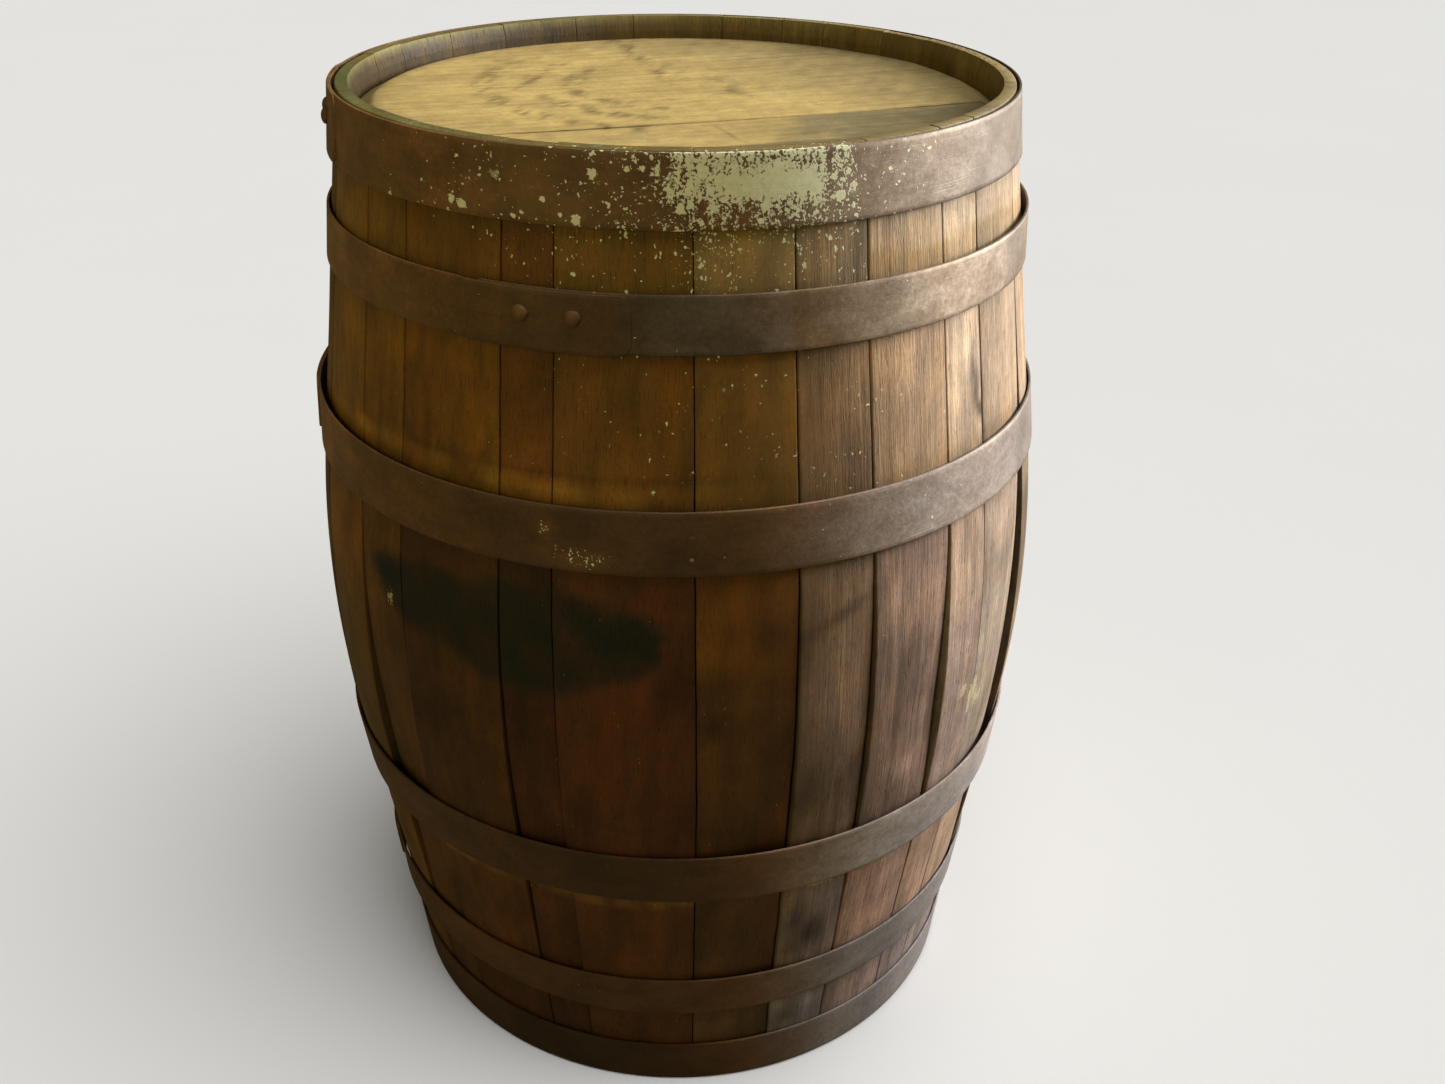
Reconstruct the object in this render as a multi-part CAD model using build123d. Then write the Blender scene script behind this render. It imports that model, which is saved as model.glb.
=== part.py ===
from build123d import *
import math
import os

# An oak cask standing on its bottom end: bowed staves, two boarded heads let
# into the staves, six riveted steel hoops and a tapered bung.
# Millimetres. +Z is up along the cask's axis. The origin is at the centre of
# the bottom end, where the cask stands. +Y points out through the bung hole.

# ---- overall cask ----
cask_height = 880.0
end_radius = 277.0            # outside of the staves at both ends
bilge_rise = 53.0             # how much further out the staves stand at mid-height
bilge_arc_radius = 1000.0     # lengthwise curve of the staves about mid-height

# ---- staves ----
stave_thickness = 25.0
stave_end_flat = 10.0         # width of the flat end that the cask stands on
chime_wall = 13.0             # wall left where the ends are bored out for the heads
chime_bevel_depth = 14.0
joint_gap = 0.4               # dry timber: open joint between neighbours
# Widths at mid-height, counter-clockwise from above, starting with the bung stave.
# They set the shares of the whole turn.
bung_stave_width = 110.0
stave_widths = [
    72, 95, 78, 86, 63, 98, 84, 96,
    60, 103, 46, 112, 82, 66, 82, 52, 92,
    74, 88, 61, 92, 66, 84, 56, 75,
]

# ---- heads ----
head_recess = 18.0            # outer face of a head below the stave ends
head_thickness = 22.0
head_bevel_width = 14.0       # sloping ring around both faces of a head
croze_width = 6.0             # groove in the staves that holds the head's edge
croze_depth = 5.0
croze_fit = 0.1               # play of the edge in the groove, each face
croze_end_play = 0.5          # play at the bottom of the groove
top_board_turn = 17.0         # degrees that the boards run off the X axis
bottom_board_turn = -24.0
# Distances of the board joints from the head's centre line, front to back.
top_board_joints = [-185.0, -104.0, -6.0, 126.0]
bottom_board_joints = [-178.0, -88.0, 5.0, 93.0, 172.0]

# ---- head dowels ----
dowel_radius = 4.0
dowel_length = 40.0
dowel_fit = 0.05
dowel_end_play = 1.0
dowel_span_share = 0.5        # dowels sit at this share of a joint's half length

# ---- hoops ----
hoop_thickness = 2.0
hoop_fit = 0.1                # clearance over the staves at the hoop's tight edge
hoop_lap = 120.0              # overlap of the two ends of the strip
lap_fit = 0.1                 # clearance between the lapped layers
lap_ramp = 18.0               # length over which the strip climbs onto the lap
# Each hoop: distance of its two edges from its own end of the cask, how far its
# end-side edge stands off the staves, and the direction of its lap in degrees
# counter-clockwise from the front (-Y).
hoops = {
    "top_head_hoop": dict(end="top", near=0.5, far=52.0, lift=2.0, lap_at=-79.0),
    "top_quarter_hoop": dict(end="top", near=94.0, far=137.0, lift=2.5, lap_at=-18.0),
    "top_bilge_hoop": dict(end="top", near=249.0, far=300.0, lift=2.5, lap_at=-90.0),
    "bottom_bilge_hoop": dict(end="bottom", near=260.0, far=311.0, lift=1.5, lap_at=150.0),
    "bottom_quarter_hoop": dict(end="bottom", near=104.0, far=148.0, lift=1.5, lap_at=-86.0),
    "bottom_head_hoop": dict(end="bottom", near=2.0, far=52.0, lift=1.5, lap_at=104.0),
}

# ---- rivets ----
rivet_shank_radius = 4.0
rivet_head_radius = 7.5
rivet_head_height = 3.5
rivet_spacing = 39.0
rivet_fit = 0.05

# ---- bung ----
bung_radius = 25.0            # at the outside of the bung stave
bung_taper = 3.0              # degrees, half angle
bung_length = 34.0
bung_recess = 1.5             # outer face of the bung below the staves
bung_fit = 0.3                # clearance around the bung
bung_chamfer = 1.5

# ---- cutting ----
cut_overrun = 1.0             # how far a cut or drill runs past what it cuts

# ---- worked out ----
bilge_radius = end_radius + bilge_rise
half_height = cask_height / 2
bore_radius = end_radius - chime_wall
arc_centre_radius = bilge_radius - bilge_arc_radius
bung_height = half_height

# Slope of the straight ends: half_height*sin(a) + (R - rise)*cos(a) = R.
slope_reach = math.hypot(half_height, bilge_arc_radius - bilge_rise)
slope = math.asin(bilge_arc_radius / slope_reach)
slope -= math.atan2(bilge_arc_radius - bilge_rise, half_height)
tangent_height = bilge_arc_radius * math.sin(slope)


def outer_radius(z):
    """Radius of the staves' outside at height z."""
    t = abs(z - half_height)
    if t < tangent_height:
        return arc_centre_radius + math.sqrt(bilge_arc_radius**2 - t**2)
    return end_radius + (half_height - t) * math.tan(slope)


def from_front(degrees_ccw):
    """Turn about Z that takes the XZ plane (+X side) to this direction."""
    return Rot(0, 0, degrees_ccw - 90)


def polygon(points):
    """Flat face in the XZ plane from (radius, height) corners."""
    return Face(Wire.make_polygon([Vector(r, 0, z) for r, z in points], close=True))


def turned(face, start, sweep):
    """Solid of revolution of an XZ section, from start over sweep degrees."""
    return from_front(start) * revolve(face, Axis.Z, sweep)


# ---------------------------------------------------------------- staves

def stave_bow(radius):
    """Three tangent edges, bottom to top: straight, arc, straight."""
    inset = bilge_arc_radius - radius
    foot_r = end_radius - inset / math.cos(slope)
    bend_r = arc_centre_radius + radius * math.cos(slope)
    bend_z = radius * math.sin(slope)
    foot = Vector(foot_r, 0, 0)
    head = Vector(foot_r, 0, cask_height)
    low = Vector(bend_r, 0, half_height - bend_z)
    high = Vector(bend_r, 0, half_height + bend_z)
    middle = Vector(arc_centre_radius + radius, 0, half_height)
    arc = Edge.make_three_point_arc(low, middle, high)
    return [Edge.make_line(foot, low), arc, Edge.make_line(high, head)]


def stave_blank():
    """Section of a bowed board with parallel faces, square at its ends."""
    outside = stave_bow(bilge_arc_radius)
    inside = stave_bow(bilge_arc_radius - stave_thickness)
    top = Edge.make_line(outside[-1] @ 1, inside[-1] @ 1)
    bottom = Edge.make_line(inside[0] @ 0, outside[0] @ 0)
    return Face(Wire(outside + [top] + inside + [bottom]))


def end_boring(top):
    """Section cut out of one end: bore, chime bevel and croze groove."""
    groove_mid = head_recess + head_thickness / 2
    groove_out = groove_mid - croze_width / 2
    groove_in = groove_mid + croze_width / 2
    flat_in = end_radius - stave_end_flat
    # Measured down from the end; the bore runs out where the wall is full.
    bore_end = half_height - tangent_height
    corners = [
        (0, -cut_overrun),
        (flat_in, -cut_overrun),
        (flat_in, 0),
        (bore_radius, chime_bevel_depth),
        (bore_radius, groove_out),
        (bore_radius + croze_depth, groove_out),
        (bore_radius + croze_depth, groove_in),
        (bore_radius, groove_in),
        (bore_radius, bore_end),
        (0, bore_end),
    ]
    if top:
        corners = [(r, cask_height - d) for r, d in corners]
    return polygon(corners)


def stave_section():
    return (Sketch() + stave_blank() - end_boring(True) - end_boring(False)).face()


def bung_cone(radius_at_face, outer_y, length):
    """Tapered plug along +Y; its radius is given where y is the bilge radius."""
    shrink = math.tan(math.radians(bung_taper))
    outer_r = radius_at_face + (outer_y - bilge_radius) * shrink
    inner_r = outer_r - length * shrink
    plug = Cone(inner_r, outer_r, length, align=(Align.CENTER, Align.CENTER, Align.MAX))
    return Pos(0, outer_y, bung_height) * (Rot(-90, 0, 0) * plug)


def make_staves():
    """Every stave as {name: solid}; the bung stave is centred on +Y."""
    section = stave_section()
    widths = [bung_stave_width] + stave_widths
    turn_per_mm = 360.0 / sum(widths)
    gap = math.degrees(joint_gap / bilge_radius)
    staves = {}
    start = 180.0 - bung_stave_width * turn_per_mm / 2
    for index, width in enumerate(widths):
        sweep = width * turn_per_mm
        stave = turned(section, start + gap / 2, sweep - gap)
        name = "bung_stave" if index == 0 else f"stave_{index:02d}"
        if index == 0:
            hole_outer = bilge_radius + bung_length
            hole_length = 2 * bung_length + stave_thickness
            stave = stave - bung_cone(bung_radius + bung_fit, hole_outer, hole_length)
        staves[name] = stave
        start += sweep
    return staves


# ---------------------------------------------------------------- heads

def head_disc():
    """Whole head as one disc, outer face at z = 0 and the body below it."""
    face_r = bore_radius - head_bevel_width
    edge_r = bore_radius + croze_depth - croze_end_play
    tongue = croze_width - 2 * croze_fit
    tongue_top = -(head_thickness - tongue) / 2
    profile = polygon([
        (0, 0),
        (face_r, 0),
        (bore_radius, tongue_top),
        (edge_r, tongue_top),
        (edge_r, tongue_top - tongue),
        (bore_radius, tongue_top - tongue),
        (face_r, -head_thickness),
        (0, -head_thickness),
    ])
    return revolve(profile, Axis.Z, 360)


def dowel_places(joints):
    """(along the joint, across the boards) of each dowel's middle."""
    places = []
    for joint in joints:
        half_chord = math.sqrt(bore_radius**2 - joint**2)
        for side in (-1, 1):
            places.append((side * half_chord * dowel_span_share, joint))
    return places


def dowel(radius, length, place):
    """Peg lying across a joint, at mid-thickness of the head."""
    along, across = place
    return Pos(along, across, -head_thickness / 2) * (Rot(90, 0, 0) * Cylinder(radius, length))


def make_head(prefix, joints, place):
    """Boards and dowels of one head, moved to where the head sits."""
    disc = head_disc()
    reach = 2 * end_radius
    edges = [-reach] + joints + [reach]
    spots = dowel_places(joints)
    pieces = {}
    for index in range(len(edges) - 1):
        low = edges[index] + joint_gap / 2
        high = edges[index + 1] - joint_gap / 2
        slab = Pos(0, (low + high) / 2, 0) * Box(2 * reach, high - low, 4 * head_thickness)
        board = (disc & slab).solid()
        for spot in spots:
            if spot[1] in edges[index:index + 2]:
                board = board - dowel(dowel_radius + dowel_fit, dowel_length + 2 * dowel_end_play, spot)
        pieces[f"{prefix}_board_{index + 1}"] = place * board
    pegs = [place * dowel(dowel_radius, dowel_length, spot) for spot in spots]
    pieces[f"{prefix}_dowels"] = Compound(children=pegs)
    return pieces


# ---------------------------------------------------------------- hoops

def hoop_heights(hoop):
    """Heights of the end-side edge and of the bilge-side edge."""
    if hoop["end"] == "top":
        return cask_height - hoop["near"], cask_height - hoop["far"]
    return hoop["near"], hoop["far"]


def hoop_radii(hoop, layer):
    """Inside radii at the end-side edge and the bilge-side edge of a layer.

    Layer 0 lies on the staves, layer 1 on top of the lap.
    """
    near_z, far_z = hoop_heights(hoop)
    bulge = (near_z - far_z)**2 / (8 * bilge_arc_radius)
    seat = hoop_fit + bulge + layer * (hoop_thickness + lap_fit)
    return outer_radius(near_z) + seat + hoop["lift"], outer_radius(far_z) + seat


def hoop_section(hoop, layer):
    near_z, far_z = hoop_heights(hoop)
    near_r, far_r = hoop_radii(hoop, layer)
    return polygon([
        (near_r, near_z),
        (near_r + hoop_thickness, near_z),
        (far_r + hoop_thickness, far_z),
        (far_r, far_z),
    ])




def lap_seat(hoop):
    """Middle of the lap's outside: radius, height and lean of its normal."""
    near_z, far_z = hoop_heights(hoop)
    near_r, far_r = hoop_radii(hoop, 1)
    lean = math.degrees(math.atan((far_r - near_r) / (near_z - far_z)))
    return (near_r + far_r) / 2 + hoop_thickness, (near_z + far_z) / 2, lean


def lap_thickness():
    return 2 * hoop_thickness + lap_fit


def rivet_hole():
    """Drill through both layers, along X, from outside at x = 0 inwards."""
    length = lap_thickness() + 2 * cut_overrun
    drill = Cylinder(rivet_shank_radius + rivet_fit, length)
    return Rot(0, 90, 0) * Pos(0, 0, cut_overrun - length / 2) * drill


def rivet_shape():
    """Rivet along +X: base of its domed head at x = 0, shank behind it."""
    ball = (rivet_head_radius**2 + rivet_head_height**2) / (2 * rivet_head_height)
    half_x = rivet_head_height - ball + math.sqrt(ball**2 - (rivet_head_radius / 2)**2)
    tip = Vector(rivet_head_height, 0, 0)
    rim = Vector(0, rivet_head_radius, 0)
    neck = Vector(0, rivet_shank_radius, 0)
    tail = Vector(-lap_thickness(), rivet_shank_radius, 0)
    end = Vector(-lap_thickness(), 0, 0)
    dome = Edge.make_three_point_arc(tip, Vector(half_x, rivet_head_radius / 2, 0), rim)
    straight = [Edge.make_line(a, b) for a, b in ((rim, neck), (neck, tail), (tail, end), (end, tip))]
    return revolve(Face(Wire([dome] + straight)), Axis.X, 360).solid()


def make_hoop(hoop):
    """One hoop and its two rivets: a strip lapped on itself and riveted."""
    seat_r, seat_z, lean = lap_seat(hoop)
    lap = math.degrees(hoop_lap / seat_r)
    ramp = math.degrees(lap_ramp / seat_r)
    lap_start = hoop["lap_at"] - lap / 2
    under, over = hoop_section(hoop, 0), hoop_section(hoop, 1)
    strip = turned(under, lap_start, 360 - ramp)
    climb = loft([from_front(lap_start - ramp) * under, from_front(lap_start) * over], ruled=True)
    strip = strip + climb + turned(over, lap_start, lap)
    rivets = []
    for side in (-1, 1):
        turn = from_front(hoop["lap_at"] + side * math.degrees(rivet_spacing / 2 / seat_r))
        place = turn * Pos(seat_r, 0, seat_z) * Rot(0, -lean, 0)
        strip = strip - place * rivet_hole()
        rivets.append(place * rivet_shape())
    return strip, Compound(children=rivets)


# ---------------------------------------------------------------- bung

def make_bung():
    outer_y = bilge_radius - bung_recess
    plug = bung_cone(bung_radius, outer_y, bung_length)
    ends = [plug.edges().sort_by(Axis.Y)[0], plug.edges().sort_by(Axis.Y)[-1]]
    return chamfer(ends, bung_chamfer)


def build():
    parts = make_staves()
    top = Pos(0, 0, cask_height - head_recess) * Rot(0, 0, top_board_turn)
    bottom = Pos(0, 0, head_recess) * Rot(0, 0, bottom_board_turn) * Rot(180, 0, 0)
    parts.update(make_head("top_head", top_board_joints, top))
    parts.update(make_head("bottom_head", bottom_board_joints, bottom))
    for name, hoop in hoops.items():
        parts[name], parts[f"{name}_rivets"] = make_hoop(hoop)
    parts["bung"] = make_bung()
    return parts


os.makedirs("parts", exist_ok=True)
for name, part in build().items():
    export_step(part, f"parts/{name}.step")
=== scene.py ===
import bpy
import math
import numpy as np
from mathutils import Matrix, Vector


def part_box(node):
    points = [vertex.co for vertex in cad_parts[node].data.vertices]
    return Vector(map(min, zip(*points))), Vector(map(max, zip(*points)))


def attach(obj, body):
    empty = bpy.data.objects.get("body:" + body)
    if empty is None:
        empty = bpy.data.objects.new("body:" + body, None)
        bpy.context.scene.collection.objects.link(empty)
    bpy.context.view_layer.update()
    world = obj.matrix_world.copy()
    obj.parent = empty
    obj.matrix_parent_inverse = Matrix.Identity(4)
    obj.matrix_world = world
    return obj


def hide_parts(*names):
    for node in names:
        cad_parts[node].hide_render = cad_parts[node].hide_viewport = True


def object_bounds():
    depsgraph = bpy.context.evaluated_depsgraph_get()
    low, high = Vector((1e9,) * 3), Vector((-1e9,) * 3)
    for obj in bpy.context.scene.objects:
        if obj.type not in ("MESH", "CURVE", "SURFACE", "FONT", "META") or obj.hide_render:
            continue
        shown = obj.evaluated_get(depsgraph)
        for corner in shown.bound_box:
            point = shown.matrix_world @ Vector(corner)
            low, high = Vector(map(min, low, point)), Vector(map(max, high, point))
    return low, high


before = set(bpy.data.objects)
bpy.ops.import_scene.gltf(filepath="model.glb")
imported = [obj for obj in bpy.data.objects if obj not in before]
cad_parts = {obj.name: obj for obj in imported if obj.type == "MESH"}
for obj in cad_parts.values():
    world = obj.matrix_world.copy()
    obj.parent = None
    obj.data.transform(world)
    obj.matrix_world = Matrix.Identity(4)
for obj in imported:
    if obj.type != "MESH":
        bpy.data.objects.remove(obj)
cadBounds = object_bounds()
print("frame loaded:", len(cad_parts), "nodes")

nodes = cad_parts
height = cadBounds[1][2]
bilgeRadius = cadBounds[1][0]


# Turn of a point seen from above, counter-clockwise from the front (-Y), in radians.
def turnOf(x, y):
    return np.arctan2(x, -y)


# All points of a CAD node's mesh.
def pointsOf(nodeName):
    mesh = nodes[nodeName].data
    flat = np.empty(len(mesh.vertices) * 3, np.float32)
    mesh.vertices.foreach_get("co", flat)
    return flat.reshape(-1, 3).astype(float)


# Direction of a node's middle, and its points' angles measured from there.
def spreadOf(points):
    middle = turnOf(points[:, 0].mean(), points[:, 1].mean())
    offset = turnOf(points[:, 0], points[:, 1]) - middle
    return middle, (offset + np.pi) % (2 * np.pi) - np.pi


# Distance of points from the barrel's axis.
def radiusOf(points):
    return np.hypot(points[:, 0], points[:, 1])


staveNames = sorted(n for n in nodes if n.startswith("stave_")) + ["bung_stave"]
footPoints = pointsOf("stave_12")
endRadius = radiusOf(footPoints[footPoints[:, 2] < 0.0005]).max()
endBore = radiusOf(footPoints).min()

# Lengthwise curve of the staves: an arc about mid-height, then straight tapers.
arcRadius = 1.0
halfHeight = height / 2
rise = bilgeRadius - endRadius
centreReach = arcRadius - rise
slope = math.asin(arcRadius / math.hypot(halfHeight, centreReach)) - math.atan2(centreReach, halfHeight)


# Outside radius at height z: a circle about mid-height, straight beyond its tangent point.
def outerRadius(z):
    t = np.abs(z - halfHeight)
    onArc = bilgeRadius - arcRadius + np.sqrt(np.maximum(arcRadius**2 - t**2, 0))
    straight = endRadius + (halfHeight - t) * math.tan(slope)
    return np.where(t < arcRadius * math.sin(slope), onArc, straight)


# Wandering value in about -1..1: a sum of sine waves of about one pitch with random phase and direction.
def wander(seed, pitch, *coords, waves=6):
    rng = np.random.default_rng(seed)
    total = 0.0
    for _ in range(waves):
        phase = rng.uniform(0, 2 * np.pi)
        share = rng.uniform(-1, 1, len(coords))
        size = pitch * rng.uniform(0.6, 1.8)
        along = sum(s * c for s, c in zip(share, coords))
        total = total + np.sin(2 * np.pi * along / size + phase)
    return total / math.sqrt(waves * 2)


# 0 below low, 1 above high, smooth between.
def smooth(low, high, value):
    t = np.clip((value - low) / (high - low), 0, 1)
    return t * t * (3 - 2 * t)


# Bell of height 1 at centre with the given half width.
def bell(value, centre, halfWidth):
    return np.exp(-((value - centre) / halfWidth) ** 2)


# How far a rounded edge falls away at distance d from the edge: a quarter circle of radius r.
def roundedDrop(d, r):
    inside = np.clip(r - d, 0, r)
    return r - np.sqrt(np.maximum(r**2 - inside**2, 0))


# Two grids of the same shape, a skin and its back, joined around their border into one closed solid.
def shellFaces(n, m):
    skin = np.arange(n * m).reshape(n, m)
    back = skin + n * m

    # Faces from four grids of corners.
    def quads(a, b, c, d):
        return np.stack([a.ravel(), b.ravel(), c.ravel(), d.ravel()], 1)

    return np.concatenate([
        quads(skin[:-1, :-1], skin[1:, :-1], skin[1:, 1:], skin[:-1, 1:]),
        quads(back[:-1, :-1], back[:-1, 1:], back[1:, 1:], back[1:, :-1]),
        quads(skin[1:, 0], skin[:-1, 0], back[:-1, 0], back[1:, 0]),
        quads(skin[:-1, -1], skin[1:, -1], back[1:, -1], back[:-1, -1]),
        quads(skin[0, :-1], skin[0, 1:], back[0, 1:], back[0, :-1]),
        quads(skin[-1, 1:], skin[-1, :-1], back[-1, :-1], back[-1, 1:]),
    ])


# Closed section carried along a path: n sections of m points, with flat caps.
def tubeFaces(n, m):
    ring = np.arange(n * m).reshape(n, m)
    nextRing = np.roll(ring, -1, axis=1)
    sides = np.stack([ring[:-1], ring[1:], nextRing[1:], nextRing[:-1]], -1).reshape(-1, 4)
    return sides.tolist() + [ring[0].tolist(), ring[-1][::-1].tolist()]


# Rings about an axis between two pole points: m points a ring, poles are the last two vertices.
def turnedFaces(n, m):
    ring = np.arange(n * m).reshape(n, m)
    nextRing = np.roll(ring, -1, axis=1)
    sides = np.stack([ring[:-1], nextRing[:-1], nextRing[1:], ring[1:]], -1).reshape(-1, 4)
    start, end = n * m, n * m + 1
    first = np.stack([np.full(m, start), nextRing[0], ring[0]], -1)
    last = np.stack([np.full(m, end), ring[-1], nextRing[-1]], -1)
    return sides.tolist() + first.tolist() + last.tolist()


# Signed volume, from the fan of each face: negative means inside out.
def signedVolume(points, faces):
    quads = np.array([f for f in faces if len(f) == 4])
    a, b, c, d = (points[quads[:, i]] for i in range(4))
    return (np.einsum("ij,ij->i", a, np.cross(b, c)) + np.einsum("ij,ij->i", a, np.cross(c, d))).sum() / 6


sharpAngle = math.radians(38)


# Mesh with smooth faces, sharp where they meet steeply, its grain map and its values per point, on its body.
def makePiece(name, points, faces, material, body, replaced, uv=None, colours=None, values=None):
    faces = faces.tolist() if isinstance(faces, np.ndarray) else faces
    if signedVolume(points, faces) < 0:
        faces = [f[::-1] for f in faces]
    mesh = bpy.data.meshes.new(name)
    mesh.from_pydata(points.tolist(), [], faces)
    mesh.polygons.foreach_set("use_smooth", np.ones(len(mesh.polygons), bool))
    mesh.update()
    mesh.set_sharp_from_angle(angle=sharpAngle)
    if uv is not None:
        corner = np.empty(len(mesh.loops), np.int32)
        mesh.loops.foreach_get("vertex_index", corner)
        layer = mesh.uv_layers.new(name="grain")
        layer.data.foreach_set("uv", uv[corner].astype(np.float32).ravel())
    for key, colour in (colours or {}).items():
        layer = mesh.attributes.new(key, "FLOAT_COLOR", "POINT")
        withAlpha = np.column_stack([colour, np.ones(len(points))])
        layer.data.foreach_set("color", withAlpha.astype(np.float32).ravel())
    for key, value in (values or {}).items():
        layer = mesh.attributes.new(key, "FLOAT", "POINT")
        layer.data.foreach_set("value", np.asarray(value, np.float32).ravel())
    mesh.materials.append(material)
    piece = bpy.data.objects.new(name, mesh)
    bpy.context.scene.collection.objects.link(piece)
    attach(piece, body)
    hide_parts(*replaced)


view = dict(
    eye=(0.0, -1.2257, 1.1117),
    pitchDown=0.507,          # radians below level
    aimRight=0.034,           # radians off the barrel's axis
    roll=0.012,
    lens=35.58,
    sensor=36.0,
)


# Camera at the eye, turned right, pitched down and rolled about its own view.
def makeCamera():
    data = bpy.data.cameras.new("studioCamera")
    data.sensor_width = view["sensor"]
    data.lens = view["lens"]
    camera = bpy.data.objects.new("studioCamera", data)
    bpy.context.scene.collection.objects.link(camera)
    aim, pitch, roll = view["aimRight"], view["pitchDown"], view["roll"]
    ahead = np.array([math.sin(aim) * math.cos(pitch), math.cos(aim) * math.cos(pitch), -math.sin(pitch)])
    right = np.array([math.cos(aim), -math.sin(aim), 0.0])
    up = np.cross(right, ahead)
    turnedRight = right * math.cos(roll) + up * math.sin(roll)
    turnedUp = up * math.cos(roll) - right * math.sin(roll)
    grid = np.column_stack([turnedRight, turnedUp, -ahead, view["eye"]])
    camera.matrix_world = Matrix(grid.tolist() + [[0, 0, 0, 1]])
    bpy.context.scene.camera = camera


light = dict(
    keyTurn=103.0,            # degrees from the front, towards +X
    keyDistance=2.0,
    keyHeight=1.35,
    keyAim=0.80,              # height that the lamp points at
    keySpread=75.0,           # degrees
    keySize=1.2,
    keyPower=25.0,
    keyColour=(1.0, 0.96, 0.90),
    fillTurn=-30.0,
    fillDistance=3.2,
    fillHeight=1.9,
    fillAim=0.6,
    fillSpread=120.0,
    fillSize=2.2,
    fillPower=11.0,
    fillColour=(1.0, 0.80, 0.24),
    overTurn=60.0,
    overDistance=0.7,
    overHeight=2.9,
    overAim=0.9,
    overSpread=90.0,
    overSize=1.6,
    overPower=9.0,
    overColour=(1.0, 0.96, 0.88),
    floorStrength=3.1,        # a broad sun for the floor alone
    floorSoftness=70.0,
    floorSunTilt=(12.0, 22.0),
    floorHalf=30.0,
    roomStrength=0.06,
    roomColour=(1.0, 0.86, 0.45),
    backdropColour=(0.84, 0.84, 0.83),
    floorColour=(0.84, 0.84, 0.83),
    floorBounce=(0.20, 0.172, 0.098),
)


# A disc lamp standing at a turn, distance and height, pointed at a height on the barrel's axis.
def makeLamp(name):
    data = bpy.data.lights.new(name + "Light", "AREA")
    data.shape = "DISK"
    data.size = light[name + "Size"]
    data.spread = math.radians(light[name + "Spread"])
    data.energy = light[name + "Power"]
    data.color = light[name + "Colour"]
    lamp = bpy.data.objects.new(name + "Light", data)
    bpy.context.scene.collection.objects.link(lamp)
    angle = math.radians(light[name + "Turn"])
    reach = light[name + "Distance"]
    place = np.array([reach * math.sin(angle), -reach * math.cos(angle), light[name + "Height"]])
    back = place - np.array([0, 0, light[name + "Aim"]])
    back = back / np.linalg.norm(back)
    side = np.cross([0, 0, 1], back)
    side = side / np.linalg.norm(side)
    grid = np.column_stack([side, np.cross(back, side), back, place])
    lamp.matrix_world = Matrix(grid.tolist() + [[0, 0, 0, 1]])
    return lamp


# Makes a lamp leave the floor out or light nothing else.
def linkToFloor(lamp, floor, state):
    group = bpy.data.collections.new(lamp.name + "Floor")
    group.objects.link(floor)
    group.collection_objects[0].light_linking.link_state = state
    lamp.light_linking.receiver_collection = group


# A world that lights softly as a dim room and shows the camera a pale backdrop.
def makeRoom():
    world = bpy.data.worlds.new("room")
    bpy.context.scene.world = world
    world.use_nodes = True
    tree = world.node_tree
    out = next(n for n in tree.nodes if n.type == "OUTPUT_WORLD")
    room = next(n for n in tree.nodes if n.type == "BACKGROUND")
    room.inputs["Color"].default_value = (*light["roomColour"], 1)
    room.inputs["Strength"].default_value = light["roomStrength"]
    backdrop = tree.nodes.new("ShaderNodeBackground")
    backdrop.inputs["Color"].default_value = (*light["backdropColour"], 1)
    path = tree.nodes.new("ShaderNodeLightPath")
    chooser = tree.nodes.new("ShaderNodeMixShader")
    tree.links.new(path.outputs["Is Camera Ray"], chooser.inputs[0])
    tree.links.new(room.outputs[0], chooser.inputs[1])
    tree.links.new(backdrop.outputs[0], chooser.inputs[2])
    tree.links.new(chooser.outputs[0], out.inputs["Surface"])


# Floor, three lamps that leave it out, and a sun of its own.
def makeStudio(floorMaterial):
    half = light["floorHalf"]
    corners = [(-half, -half, 0), (half, -half, 0), (half, half, 0), (-half, half, 0)]
    mesh = bpy.data.meshes.new("floor")
    mesh.from_pydata(corners, [], [(0, 1, 2, 3)])
    mesh.materials.append(floorMaterial)
    floor = bpy.data.objects.new("floor", mesh)
    bpy.context.scene.collection.objects.link(floor)
    for name in ("key", "fill", "over"):
        linkToFloor(makeLamp(name), floor, "EXCLUDE")
    data = bpy.data.lights.new("floorLight", "SUN")
    data.energy = light["floorStrength"]
    data.angle = math.radians(light["floorSoftness"])
    lamp = bpy.data.objects.new("floorLight", data)
    bpy.context.scene.collection.objects.link(lamp)
    lamp.rotation_euler = (*np.radians(light["floorSunTilt"]), 0)
    linkToFloor(lamp, floor, "INCLUDE")
    makeRoom()


# A socket that can be used in arithmetic; each operation adds a Math node.
class Wire:
    def __init__(self, tree, socket):
        self.tree = tree
        self.socket = socket

    # One Math node on two wires or numbers.
    def math(self, operation, first, second=None):
        node = self.tree.nodes.new("ShaderNodeMath")
        node.operation = operation
        for slotIndex, value in enumerate((first, second)):
            if isinstance(value, Wire):
                self.tree.links.new(value.socket, node.inputs[slotIndex])
            elif value is not None:
                node.inputs[slotIndex].default_value = value
        return Wire(self.tree, node.outputs[0])

    def __add__(self, other):
        return self.math("ADD", self, other)

    def __radd__(self, other):
        return self.math("ADD", other, self)

    def __sub__(self, other):
        return self.math("SUBTRACT", self, other)

    def __rsub__(self, other):
        return self.math("SUBTRACT", other, self)

    def __mul__(self, other):
        return self.math("MULTIPLY", self, other)

    def __rmul__(self, other):
        return self.math("MULTIPLY", other, self)

    # The larger of two.
    def over(self, other):
        return self.math("MAXIMUM", self, other)

    # The smaller of two.
    def under(self, other):
        return self.math("MINIMUM", self, other)


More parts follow.
